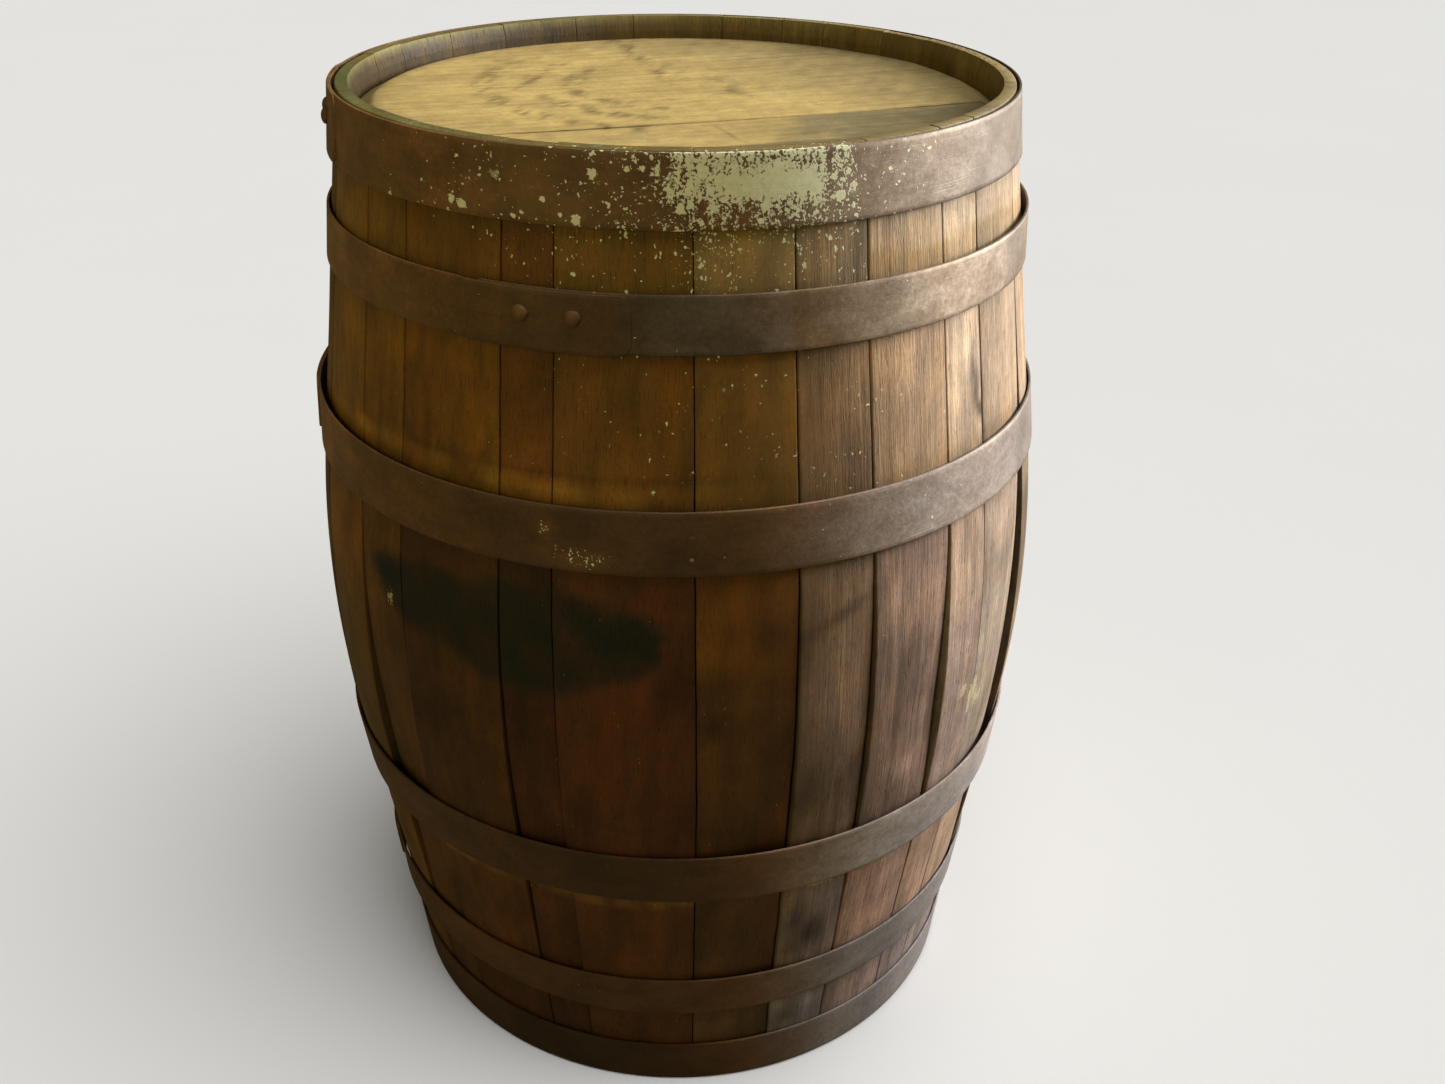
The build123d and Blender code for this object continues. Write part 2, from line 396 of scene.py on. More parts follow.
# A material under construction: its shader, its object coordinates and short ways to add nodes.
class Finish:
    def __init__(self, name, specular=0.5):
        self.material = bpy.data.materials.new(name)
        self.material.use_nodes = True
        self.tree = self.material.node_tree
        self.shader = next(n for n in self.tree.nodes if n.type == "BSDF_PRINCIPLED")
        self.shader.inputs["Specular IOR Level"].default_value = specular
        self.object = self.make("ShaderNodeTexCoord", {}, {}, "Object")

    # One node: its type, its settings, its input values or links, and the output that is wanted.
    def make(self, kind, settings, inputs, output):
        node = self.tree.nodes.new(kind)
        for key, value in settings.items():
            setattr(node, key, value)
        for key, value in inputs.items():
            self.join(value, node.inputs[key])
        return Wire(self.tree, node.outputs[output])

    # Links a wire to a socket, or sets the socket to a plain value.
    def join(self, value, socket):
        if isinstance(value, Wire):
            self.tree.links.new(value.socket, socket)
        elif isinstance(value, tuple) and len(value) == 3 and socket.type == "RGBA":
            socket.default_value = (*value, 1)
        else:
            socket.default_value = value

    # A value or colour that each piece carries on its points.
    def attribute(self, name, output="Fac"):
        return self.make("ShaderNodeAttribute", {"attribute_name": name}, {}, output)

    # A piece's own map, in metres across and along the grain.
    def uv(self):
        return self.make("ShaderNodeUVMap", {"uv_map": "grain"}, {}, "UV")

    # A vector stretched by three numbers and shifted.
    def stretch(self, vector, scale, shift=(0, 0, 0)):
        inputs = {"Vector": vector, "Scale": scale, "Location": shift}
        return self.make("ShaderNodeMapping", {}, inputs, "Vector")

    # Cloudy noise about 0.5.
    def noise(self, vector, scale=1.0, detail=2.0, roughness=0.5, distortion=0.0):
        inputs = {"Vector": vector, "Scale": scale, "Detail": detail, "Roughness": roughness}
        return self.make("ShaderNodeTexNoise", {}, {**inputs, "Distortion": distortion}, "Fac")

    # Noise drawn out along the grain: pitches across and along it, per metre.
    def grained(self, grain, across, along, detail, roughness, distortion=0.0):
        return self.noise(self.stretch(grain, (across, along, 1)), 1.0, detail, roughness, distortion)

    # Distance to the nearest random cell's middle, or that cell's random colour.
    def cells(self, vector, scale, output="Distance"):
        return self.make("ShaderNodeTexVoronoi", {}, {"Vector": vector, "Scale": scale}, output)

    # Smooth 0..1 step between two levels.
    def step(self, value, low, high):
        inputs = {"Value": value, "From Min": low, "From Max": high, "To Min": 0.0, "To Max": 1.0}
        return self.make("ShaderNodeMapRange", {"interpolation_type": "SMOOTHSTEP"}, inputs, "Result")

    # Second over first by a share, or one of Blender's other ways of blending them.
    def mix(self, share, first, second, way="MIX"):
        node = self.tree.nodes.new("ShaderNodeMix")
        node.data_type = "RGBA"
        node.blend_type = way
        self.join(share, node.inputs[0])
        self.join(first, node.inputs[6])
        self.join(second, node.inputs[7])
        return Wire(self.tree, node.outputs[2])

    # A colour times a number that varies over the surface.
    def shade(self, colour, amount):
        inputs = {"Red": amount, "Green": amount, "Blue": amount}
        grey = self.make("ShaderNodeCombineColor", {}, inputs, "Color")
        return self.mix(1.0, colour, grey, "MULTIPLY")

    # Joins colour, roughness, relief and metal to the shader.
    def paint(self, colour, roughness, relief=None, reliefHeight=0.001, metallic=None):
        self.join(colour, self.shader.inputs["Base Color"])
        self.join(roughness, self.shader.inputs["Roughness"])
        if metallic is not None:
            self.join(metallic, self.shader.inputs["Metallic"])
        if relief is not None:
            inputs = {"Height": relief, "Distance": reliefHeight, "Strength": 1.0}
            normal = self.make("ShaderNodeBump", {}, inputs, "Normal")
            self.join(normal, self.shader.inputs["Normal"])
        return self.material


# Floor: pale to the camera, darker for the light that it passes on, so that the barrel keeps its own shading.
def floorFinish():
    finish = Finish("paleFloor", specular=0.2)
    cloud = finish.noise(finish.object, scale=1.5, detail=3.0)
    pale = finish.mix(cloud, light["floorColour"], tuple(c * 0.97 for c in light["floorColour"]))
    seen = finish.make("ShaderNodeLightPath", {}, {}, "Is Camera Ray")
    return finish.paint(finish.mix(seen, light["floorBounce"], pale), 0.9)


paintFlecks = dict(
    colour=(0.70, 0.72, 0.52),
    clusterPitch=24.0,        # per metre
    onSteel=((88.0, 0.9, 0.08, 0.44), (180.0, 1.0, 0.10, 0.44), (370.0, 1.0, 0.12, 0.42)),
    onWood=((180.0, 0.5, 0.06, 0.36), (300.0, 1.0, 0.10, 0.40), (480.0, 1.1, 0.12, 0.42)),
    tallOnSteel=1.0,          # height of a fleck against its width
    tallOnWood=1.5,
    wobblePitch=300.0,
    wobble=0.005,
    streakPitch=210.0,        # ragged patches
    flakePitch=420.0,
)


# Flecks of old paint in three sizes: a cell holds one when its random number is under the clustered density;
# its radius runs between two shares of a cell, and a wobble of the place makes it ragged.
# A layer gives the cells per metre, its share of the flecks, and its smallest and largest radius.
def paintCover(finish, density, layers, tall):
    wobbleInputs = {"Vector": finish.object, "Scale": paintFlecks["wobblePitch"], "Detail": 2.0}
    wobble = finish.make("ShaderNodeTexNoise", {}, wobbleInputs, "Color")
    place = finish.make("ShaderNodeVectorMath", {"operation": "MULTIPLY_ADD"},
                        {0: wobble, 1: (paintFlecks["wobble"],) * 3, 2: finish.object}, "Vector")
    place = finish.stretch(place, (1, 1, 1 / tall))
    cluster = finish.step(finish.noise(finish.object, paintFlecks["clusterPitch"], 3.0, 0.6), 0.38, 0.62)
    crowd = density * (0.25 + cluster * 1.25)
    cover = None
    for pitch, share, small, large in layers:
        distance, chance = finish.cells(place, pitch), finish.cells(place, pitch, output="Color")
        number = finish.make("ShaderNodeSeparateColor", {}, {"Color": chance}, "Red")
        other = finish.make("ShaderNodeSeparateColor", {}, {"Color": chance}, "Green")
        present = finish.step(crowd * share - number, 0.0, 0.02)
        reach = other * (large - small) + small
        fleck = present * finish.step(reach - distance, 0.0, 0.06)
        cover = fleck if cover is None else cover.over(fleck)
    return cover


# Ragged patch: covered where its strength plus streaky and flaky noise is over a half.
def raggedCover(finish, strength):
    drawnOut = finish.stretch(finish.object, (1, 1, 0.24))
    streak = finish.noise(drawnOut, paintFlecks["streakPitch"], 3.0, 0.6, 0.3)
    flake = finish.noise(finish.object, paintFlecks["flakePitch"], 3.0, 0.65, 0.4)
    return finish.step(strength + (streak - 0.5) * 1.2 + (flake - 0.5) * 1.7, 0.50, 0.57)


staveOak = dict(
    specular=0.30,
    broadGrain=(105, 3.4),    # per metre, across and along the stave
    fineGrain=(430, 11),
    fibreGrain=(240, 34),
    poreGrain=(1300, 75),
    mottlePitch=13.0,
    blotchPitch=34.0,
    speckPitch=330.0,
    amber=(1.12, 0.93, 0.60),
    ash=(0.92, 1.02, 1.10),
    lime=(0.50, 0.44, 0.28),
    reliefHeight=0.0007,
)


# Oak: the stave's own tone, times broad and fine grain along it, dark pores and blotches, turned to amber or
# ash by place, the ash grey and strong grain of the lit right side partly a painted sheen, under lime flakes
# and old paint, with a faint relief of the same grain.
def staveOakFinish():
    finish = Finish("agedStaveOak", staveOak["specular"])
    grain = finish.uv()
    tone = finish.attribute("tone", "Color")
    weather = finish.attribute("weather")
    broad = finish.grained(grain, *staveOak["broadGrain"], 4.0, 0.60, 0.8)
    fine = finish.grained(grain, *staveOak["fineGrain"], 4.0, 0.65, 0.5)
    fibre = finish.grained(grain, *staveOak["fibreGrain"], 3.0, 0.65, 1.2)
    pores = finish.step(finish.grained(grain, *staveOak["poreGrain"], 1.0, 0.5), 0.60, 0.74)
    mottle = finish.noise(finish.object, staveOak["mottlePitch"], 6.0, 0.62)
    tall = finish.stretch(finish.object, (1, 1, 0.42), (3, 1, 2))
    blotch = finish.noise(tall, staveOak["blotchPitch"], 5.0, 0.68, 0.6)
    speck = finish.noise(finish.object, staveOak["speckPitch"], 3.0, 0.6)
    streaks = 1 + (broad - 0.5) * (0.30 + weather * 0.95) + (fine - 0.5) * (0.16 + weather * 1.0)
    streaks = streaks + (fibre - 0.5) * (0.20 + weather * 0.55)
    level = streaks * (0.46 + mottle * 1.08) * (1 - pores * (0.16 + weather * 0.34))
    level = level * (0.62 + blotch * 0.76) * (0.78 + speck * 0.44)
    wood = finish.shade(tone, level.over(0.10))
    amber = finish.mix(1.0, wood, staveOak["amber"], "MULTIPLY")
    ash = finish.mix(1.0, wood, staveOak["ash"], "MULTIPLY")
    wood = finish.mix(finish.step(blotch, 0.42, 0.66) * (0.65 - weather * 0.30), wood, amber)
    # Ash grey where weathered on the lit right: partly a painted sheen.
    wood = finish.mix(finish.step(fibre, 0.50, 0.75) * weather * 0.6, wood, ash)
    lime = raggedCover(finish, finish.attribute("lime"))
    wood = finish.mix(lime * 0.8, wood, staveOak["lime"])
    splash = finish.attribute("splash")
    cover = paintCover(finish, splash, paintFlecks["onWood"], paintFlecks["tallOnWood"])
    wood = finish.mix(cover, wood, paintFlecks["colour"])
    rough = 0.52 + (1 - mottle) * 0.18 + pores * 0.12 + cover * 0.1
    relief = broad * (0.20 + weather * 0.30) + fine * (0.18 + weather * 0.40)
    relief = relief + fibre * (0.15 + weather * 0.35)
    relief = relief - pores * 0.4 + blotch * 0.25 + speck * 0.12 + cover * 0.5
    return finish.paint(wood, rough, relief, staveOak["reliefHeight"])


headOak = dict(
    specular=0.35,
    broadGrain=(150, 4.5),    # per metre, across and along the board
    fineGrain=(620, 22),
    poreGrain=(1400, 55),
    mottlePitch=22.0,
    fleckPitch=190.0,
    dustPitch=60.0,
    dust=(0.42, 0.36, 0.20),
    reliefHeight=0.0006,
)


# Heads: the board's own tone, times finer grain along the board, mottling, flecks and pores, with pale dust.
def headOakFinish():
    finish = Finish("headOak", headOak["specular"])
    grain = finish.uv()
    tone = finish.attribute("tone", "Color")
    broad = finish.grained(grain, *headOak["broadGrain"], 4.0, 0.60, 1.2)
    fine = finish.grained(grain, *headOak["fineGrain"], 3.0, 0.65, 0.4)
    pores = finish.step(finish.grained(grain, *headOak["poreGrain"], 1.0, 0.5), 0.62, 0.74)
    mottle = finish.noise(finish.object, headOak["mottlePitch"], 5.0, 0.62)
    fleck = finish.noise(finish.object, headOak["fleckPitch"], 4.0, 0.7)
    level = (1 + (broad - 0.5) * 0.36 + (fine - 0.5) * 0.40) * (0.62 + mottle * 0.76) * (1 - pores * 0.22)
    wood = finish.shade(tone, level * (0.68 + fleck * 0.64))
    dust = finish.step(finish.noise(finish.object, headOak["dustPitch"], 4.0, 0.7), 0.55, 0.75)
    wood = finish.mix(dust * 0.22, wood, headOak["dust"])
    rough = 0.58 + mottle * 0.14
    relief = broad * 0.3 + fine * 0.4 - pores * 0.45 + mottle * 0.2
    return finish.paint(wood, rough, relief, headOak["reliefHeight"])


hoopSteel = dict(
    specular=0.4,
    cloudPitch=9.0,           # per metre
    speckPitch=260.0,
    blotchPitch=27.0,
    pitPitch=520.0,
    scratches=(11, 700),      # along and across the strip
    scale=((0.062, 0.030, 0.008), (0.104, 0.050, 0.012)),
    rust=((0.090, 0.036, 0.008), (0.190, 0.082, 0.020)),
    coolScale=(1.05, 0.80, 0.62),
    bareMetalAndSheen=((0.235, 0.180, 0.140), (0.345, 0.290, 0.240)),
    coolMetal=((0.18, 0.18, 0.21), (0.27, 0.27, 0.31)),
    stain=(0.30, 0.19, 0.12),
    rubbedEdgeAndHighlight=(0.26, 0.17, 0.07),
    reliefHeight=0.0005,
)


# Hoop steel: brown scale with soft rust, fine specks, scratches along the strip, bare worn metal that is
# partly a painted sheen, and old paint. It is cooler low down, pale at its edges, partly rubbed and partly a
# painted highlight, and its level follows the place, partly painted light and shade.
def hoopSteelFinish():
    finish = Finish("rustyHoopSteel", hoopSteel["specular"])
    run = finish.uv()
    worn = finish.attribute("worn")
    edge = finish.attribute("edge")
    cool = finish.attribute("cool")
    cloud = finish.noise(finish.object, hoopSteel["cloudPitch"], 6.0, 0.60)
    speck = finish.noise(finish.object, hoopSteel["speckPitch"], 4.0, 0.7)
    flat = finish.stretch(finish.object, (1, 1, 1.5), (5, 2, 1))
    blotch = finish.noise(flat, hoopSteel["blotchPitch"], 6.0, 0.62, 0.3)
    patchy = finish.step(blotch, 0.30, 0.70)
    scratch = finish.grained(run, *hoopSteel["scratches"], 3.0, 0.65)
    pit = finish.step(finish.noise(finish.object, hoopSteel["pitPitch"], 2.0, 0.6), 0.60, 0.70)
    scale = finish.mix(patchy, *hoopSteel["scale"])
    rust = finish.mix(speck, *hoopSteel["rust"])
    brown = finish.mix(finish.step(cloud, 0.45, 0.68) * 0.60, scale, rust)
    brown = finish.mix(cool * 0.7, brown, finish.mix(1.0, brown, hoopSteel["coolScale"], "MULTIPLY"))
    # Pale grey of bare steel where worn, partly a painted sheen.
    grey = finish.mix(patchy, *hoopSteel["bareMetalAndSheen"])
    grey = finish.mix(finish.step(cloud, 0.50, 0.70) * 0.45, grey, hoopSteel["stain"])
    grey = finish.mix(cool * 0.85, grey, finish.mix(blotch, *hoopSteel["coolMetal"]))
    bare = (worn * (0.62 + blotch * 0.62) + (speck - 0.5) * worn * 0.5).under(1.0)
    metal = bare.over(0.0)
    colour = finish.mix(metal, brown, grey)
    # Pale edges: partly rubbed, partly a painted highlight along the rolled edges.
    rubbedAndHighlit = finish.step(edge + (cloud - 0.5) * 0.06, 0.975, 1.0) * (0.05 + cloud * 0.34) * (1 - worn * 1.1)
    colour = finish.mix(rubbedAndHighlit.over(0.0), colour, hoopSteel["rubbedEdgeAndHighlight"])
    dark = finish.step(scratch, 0.58, 0.74) * 0.22 + pit * 0.20
    level = (1 - dark) * (0.54 + speck * 0.92) * (0.84 + cloud * 0.32) * finish.attribute("level")
    colour = finish.shade(colour, level * (1 - finish.step(edge, 0.93, 1.0) * worn * 0.5))
    splash = finish.attribute("splash")
    flecks = paintCover(finish, splash, paintFlecks["onSteel"], paintFlecks["tallOnSteel"])
    cover = flecks.over(raggedCover(finish, finish.attribute("patch")))
    colour = finish.mix(cover, colour, finish.shade(paintFlecks["colour"], 0.70 + speck * 0.60))
    rough = (0.50 + speck * 0.22 - bare * 0.06) * (1 - cover) + cover * 0.7
    relief = blotch * 0.35 + speck * 0.30 + cover * 0.55 - dark
    return finish.paint(colour, rough, relief, hoopSteel["reliefHeight"], (0.15 + metal * 0.40) * (1 - cover))


plugWood = dict(
    specular=0.35,
    ringPitch=75.0,           # per metre
    ringMiddle=(0.006, 0.004),    # off the plug's middle, sideways and upwards
    mottlePitch=90.0,
    stainPitch=24.0,
    tones=((0.34, 0.21, 0.10), (0.22, 0.125, 0.055)),
    reliefHeight=0.0005,
)


# Turned plug and dowels: pale wood with growth rings about the plug's middle, mottled and stained.
def plugWoodFinish():
    finish = Finish("plugWood", plugWood["specular"])
    sideways, upwards = plugWood["ringMiddle"]
    centred = finish.stretch(finish.object, (1, 1, 1), (sideways, 0, -height / 2 + upwards))
    ringInputs = {"Vector": centred, "Scale": plugWood["ringPitch"], "Distortion": 2.5, "Detail": 2.0}
    rings = finish.make("ShaderNodeTexWave", {"wave_type": "RINGS", "rings_direction": "Y"},
                        {**ringInputs, "Detail Scale": 1.5}, "Fac")
    mottle = finish.noise(finish.object, plugWood["mottlePitch"], 4.0, 0.6)
    stain = finish.noise(finish.object, plugWood["stainPitch"], 3.0, 0.6)
    wood = finish.mix(rings, *plugWood["tones"])
    wood = finish.shade(wood, (0.7 + mottle * 0.6) * (0.55 + stain * 0.8))
    return finish.paint(wood, 0.62 + mottle * 0.2, rings * 0.5 + mottle * 0.5, plugWood["reliefHeight"])


staveFinish = staveOakFinish()
headFinish = headOakFinish()
steelFinish = hoopSteelFinish()
bungFinish = plugWoodFinish()
print("finishes made")


staves = dict(
    columnPitch=0.0034,       # grid across a stave
    rowPitch=0.0058,          # grid along a stave
    firstRow=0.0085,
    edgeRound=0.0012,
    endRound=0.0012,
    thickness=0.025,
    endFlat=0.010,
    bevelDepth=0.014,
    boredDepth=0.0855,        # how far the straight bore reaches in from an end
    crozeWidth=0.006,
    crozeDepth=0.005,
    openJoint=0.0005,         # gap of an ordinary joint at its widest
    jointWander=0.0007,       # sideways drift of a joint
    unevenEnd=0.0009,         # a stave's top may stand this much lower
    unevenFoot=0.0008,
    grimeReach=0.0014,
    jointGrime=0.45,
    crispGrime=0.20,
    backGrain=0.012,          # the grain's shift on the inside
    backWeather=0.35,
    levelSides=("stave_12", "stave_05"),      # their tops keep the full height
)

# Joints that have opened, by the stave on their clockwise side: extra gap in metres, where it is widest
# and over what share of the height.
openJoints = {
    "stave_08": (0.0052, 0.36, 0.17),
    "stave_09": (0.0008, 0.40, 0.40),
    "stave_10": (0.0012, 0.35, 0.16),
    "stave_13": (0.0014, 0.38, 0.25),
    "stave_14": (0.0022, 0.44, 0.17),
    "stave_15": (0.0034, 0.46, 0.15),
    "stave_16": (0.0006, 0.75, 0.14),
    "stave_17": (0.0050, 0.46, 0.22),
    "stave_20": (0.0022, 0.45, 0.20),
    "stave_23": (0.0018, 0.50, 0.25),
    "stave_03": (0.0024, 0.40, 0.22),
    "stave_05": (0.0016, 0.48, 0.25),
}

# Joints whose edges are still crisp: radius of the worn edge.
crispJoints = {
    "stave_09": 0.0007,
    "stave_10": 0.0008,
    "stave_11": 0.0003,
    "stave_12": 0.0004,
    "stave_16": 0.0007,
}

# Staves that have sunk between their neighbours: depth at the left and right edge in metres, the share of the
# height where it is deepest and over what share it spreads.
sunkStaves = {
    "stave_09": (0.0060, 0.0030, 0.36, 0.17),
    "stave_11": (0.0030, 0.0028, 0.34, 0.16),
    "stave_13": (0.0018, 0.0044, 0.34, 0.22),
    "stave_14": (0.0004, 0.0030, 0.46, 0.17),
    "stave_15": (0.0006, 0.0052, 0.48, 0.13),
    "stave_17": (0.0012, 0.0065, 0.44, 0.22),
    "stave_02": (0.0025, 0.0020, 0.45, 0.20),
    "stave_22": (0.0010, 0.0030, 0.40, 0.20),
}


# Tones of the staves that differ from the rest, by zone between the hoops:
# under the top hoop, upper, upper and lower middle, lower, foot. They are partly painted light: painted shade
# darkens and warms the left staves, painted sheen makes the right staves pale and grey.
staveTonesWithPaintedLight = {
    "stave_07": ((0.200, 0.105, 0.012), (0.200, 0.100, 0.009), (0.130, 0.065, 0.007),
                 (0.100, 0.050, 0.006), (0.085, 0.043, 0.006), (0.080, 0.038, 0.005)),
    "stave_08": ((0.209, 0.118, 0.016), (0.211, 0.107, 0.010), (0.190, 0.085, 0.010),
                 (0.115, 0.060, 0.006), (0.132, 0.060, 0.004), (0.145, 0.062, 0.004)),
    "stave_09": ((0.196, 0.105, 0.012), (0.192, 0.092, 0.008), (0.120, 0.053, 0.005),
                 (0.107, 0.048, 0.005), (0.098, 0.040, 0.004), (0.075, 0.032, 0.004)),
    "stave_10": ((0.152, 0.075, 0.008), (0.179, 0.080, 0.006), (0.064, 0.025, 0.003),
                 (0.062, 0.0245, 0.002), (0.094, 0.034, 0.002), (0.058, 0.019, 0.002)),
    "stave_11": ((0.136, 0.057, 0.006), (0.147, 0.056, 0.005), (0.042, 0.016, 0.003),
                 (0.053, 0.017, 0.003), (0.067, 0.0235, 0.003), (0.055, 0.019, 0.003)),
    "stave_12": ((0.169, 0.092, 0.012), (0.151, 0.068, 0.007), (0.086, 0.0275, 0.004),
                 (0.081, 0.025, 0.004), (0.089, 0.031, 0.004), (0.081, 0.030, 0.005)),
    "stave_13": ((0.248, 0.170, 0.066), (0.170, 0.090, 0.016), (0.138, 0.056, 0.007),
                 (0.084, 0.036, 0.007), (0.096, 0.044, 0.014), (0.093, 0.051, 0.024)),
    "stave_14": ((0.245, 0.172, 0.093), (0.214, 0.129, 0.068), (0.186, 0.120, 0.080),
                 (0.175, 0.115, 0.086), (0.218, 0.160, 0.160), (0.300, 0.262, 0.300)),
    "stave_15": ((0.444, 0.316, 0.195), (0.377, 0.252, 0.160), (0.230, 0.152, 0.120),
                 (0.193, 0.127, 0.102), (0.375, 0.240, 0.200), (0.296, 0.214, 0.210)),
    "stave_16": ((0.487, 0.367, 0.250), (0.451, 0.334, 0.242), (0.403, 0.290, 0.222),
                 (0.272, 0.200, 0.174), (0.388, 0.264, 0.215), (0.280, 0.227, 0.235)),
    "stave_17": ((0.322, 0.234, 0.150), (0.317, 0.225, 0.152), (0.292, 0.221, 0.173),
                 (0.294, 0.234, 0.194), (0.380, 0.270, 0.210), (0.342, 0.281, 0.274)),
}

# A blackish smear of tar: degrees from the front and millimetres above the foot.
smear = dict(
    turn=-25.0,
    halfTurn=24.5,
    mid=527.0,
    up=29.0,
    down=40.0,
    sag=24.0,
    colour=(0.007, 0.009, 0.004),
)

# A dark drip that runs down to the left, in the same units; it leans by degrees a millimetre.
drip = dict(turn=22.5, at=532.0, lean=0.36, halfTurn=2.6, halfHigh=15.0, depth=0.55)

# Heights in millimetres between which a stave's tone changes, hidden by the hoops.
toneChanges = ((757, 775), (590, 618), (470, 515), (272, 298), (112, 132))

metresPerDegree = 0.0055      # along the staves' outside

# Dark knots and stains: turn, height, half sizes (degrees, millimetres) and depth.
staveStains = (
    (49.3, 676, 1.2, 22, 0.80), (50.6, 664, 0.7, 9, 0.60), (48.6, 700, 0.6, 10, 0.5),
    (40.2, 420, 1.3, 60, 0.40), (51.3, 618, 0.8, 40, 0.45), (54, 640, 4.0, 9, 0.25),
    (36, 480, 2.5, 55, 0.22), (13, 640, 3.0, 14, 0.25), (-14.5, 355, 1.6, 28, 0.45),
    (4.5, 447, 1.6, 13, 0.55), (-2.5, 300, 2.2, 45, 0.25), (22, 190, 3.0, 28, 0.72),
    (20, 70, 5.0, 22, 0.55), (46, 560, 3.0, 30, 0.25), (33, 450, 4.0, 60, 0.25),
    (38, 300, 3.0, 22, 0.45), (-32, 640, 4.0, 18, 0.25), (12, 520, 3.0, 22, 0.30),
    (9, 330, 5.0, 30, 0.35), (24, 650, 4.0, 22, 0.30), (-40, 430, 5.0, 40, 0.30),
    (57, 330, 3.0, 40, 0.30), (-8, 700, 2.5, 30, 0.18),
)

# Lighter rubs and scars, in the same terms.
staveRubs = (
    (35, 360, 3.2, 15, 0.60), (-26, 362, 1.6, 12, 0.55), (-18.5, 350, 1.2, 16, 0.50),
    (23, 470, 2.6, 60, 0.22), (31, 520, 1.6, 40, 0.30), (33.6, 505, 0.7, 26, 0.50),
    (35.6, 520, 0.6, 18, 0.45), (32.0, 462, 0.6, 24, 0.40), (37.5, 470, 0.7, 16, 0.35),
    (44.5, 560, 0.8, 26, 0.30), (30.5, 330, 1.2, 20, 0.35), (53, 700, 1.5, 60, 0.15),
    (46, 700, 2.0, 40, 0.12), (-10, 395, 6.0, 50, 0.22),
)

# Flakes of pale lime: turn, height, half sizes.
limeFlakes = (
    (47.8, 408, 1.5, 8), (50.4, 388, 0.9, 19), (53.8, 381, 1.9, 10),
    (51.8, 400, 1.0, 10), (-46.4, 506, 0.9, 8), (22.5, 251, 2.5, 3.5),
    (26.0, 249, 1.4, 3.0), (23.5, 132, 3.0, 3.0), (24.5, 122, 1.0, 12),
)


# Staves that have no tones of their own: paler on the right, between these degrees, a painted sheen, and
# darker downwards by zone, painted shade.
plainStaves = dict(
    tone=(0.225, 0.130, 0.050),
    sheenPaleTone=(0.29, 0.205, 0.138),
    paleFrom=(50, 75),
    paleTo=(120, 170),
    depths=(0.75, 1.25),
    warmths=(0.85, 1.1),
    zoneShares=(1.15, 1.05, 0.85, 0.75, 0.85, 0.70),
)


# Unmarked tone of a stave: its zone tones, each fading into the next under a hoop. Staves without their own
# tones take a random depth and warmth.
def zoneTone(name, rng, turnDeg, mm):
    depth = rng.uniform(*plainStaves["depths"])
    warmth = rng.uniform(*plainStaves["warmths"])
    middle = turnDeg.mean()
    # Painted sheen: paler on the right.
    pale = smooth(*plainStaves["paleFrom"], middle) * (1 - smooth(*plainStaves["paleTo"], middle))
    base = np.array(plainStaves["tone"]) * np.array([1, warmth, warmth]) * (1 - pale)
    base = base + np.array(plainStaves["sheenPaleTone"]) * pale
    zones = staveTonesWithPaintedLight.get(name, [base * depth * share for share in plainStaves["zoneShares"]])
    tone = np.array(zones[0]) + 0 * mm[..., None]
    for above, below, (low, high) in zip(zones, zones[1:], toneChanges):
        step = np.array(below) - np.array(above)
        tone = tone + step * (1 - smooth(low, high, mm))[..., None]
    return tone


# Blotches of a stave: a level about 1 that wanders at several pitches, broad along and narrow across.
def staveLevel(seed, arc, across, z):
    level = 1 + 0.15 * wander(seed, 0.09, arc, z * 0.5) + 0.09 * wander(seed + 1, 0.028, arc, z * 0.6)
    level = level + 0.12 * wander(seed + 2, 0.016, across, z * 0.10)
    level = level + 0.07 * wander(seed + 3, 0.010, across, z * 0.25)
    return level - 0.28 * smooth(0.35, 1.1, wander(seed + 4, 0.07, across * 1.3, z * 0.55))


# Darkening just under every hoop, painted shade with grime, and just over it, fading away from it.
def hoopShadeAndGrime(grime, mm):
    for hoopName in hoopSettings:
        low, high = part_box(hoopName)[0][2] * 1000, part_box(hoopName)[1][2] * 1000
        below, above = low - mm, mm - high
        grime = grime * (1 - 0.35 * np.exp(-np.maximum(below, 0) / 8) * (below > -20) * (below < 60))
        grime = grime * (1 - 0.30 * np.exp(-np.maximum(above, 0) / 5) * (above > -20) * (above < 60))
    return grime


# Marks of old hoops: heights in millimetres and the tones that they add.
ghosts = dict(
    bandAt=641,
    bandTone=(0.130, 0.078, 0.012),
    lineAt=651,
    lineDepth=0.30,
    footAt=251,
    footTone=(0.12, 0.08, 0.025),
    tanFrom=(770, 780),
    tanTo=(799, 806),
    lowTanAt=634,
    tanTakes=(0.24, 0.32, 0.52),
)


# Pale bands and a dark line where hoops once sat: above the top bilge hoop and under the lower bilge hoop.
def hoopGhosts(turnDeg, mm, arc, z):
    band = bell(mm, ghosts["bandAt"] + 3 * np.sin(turnDeg / 9), 8)
    band = band * smooth(-75, -62, turnDeg) * (1 - smooth(-4, 6, turnDeg))
    band = np.clip(band * (0.55 + 0.55 * wander(31, 0.04, arc, z)), 0, 1)
    line = bell(mm, ghosts["lineAt"] + 2 * np.sin(turnDeg / 6), 3)
    line = line * smooth(-58, -50, turnDeg) * (1 - smooth(0, 20, turnDeg))
    foot = (smooth(-48, -40, turnDeg) - 0.8 * bell(turnDeg, -25, 4)) * (1 - smooth(0, 3, turnDeg))
    foot = foot + smooth(18, 22, turnDeg) * (1 - smooth(62, 70, turnDeg))
    foot = foot * bell(mm, ghosts["footAt"] + 2 * np.sin(turnDeg / 7), 4)
    foot = foot * (0.7 + 0.5 * wander(32, 0.02, arc, z))
    return band, line, np.clip(foot, 0, 1)


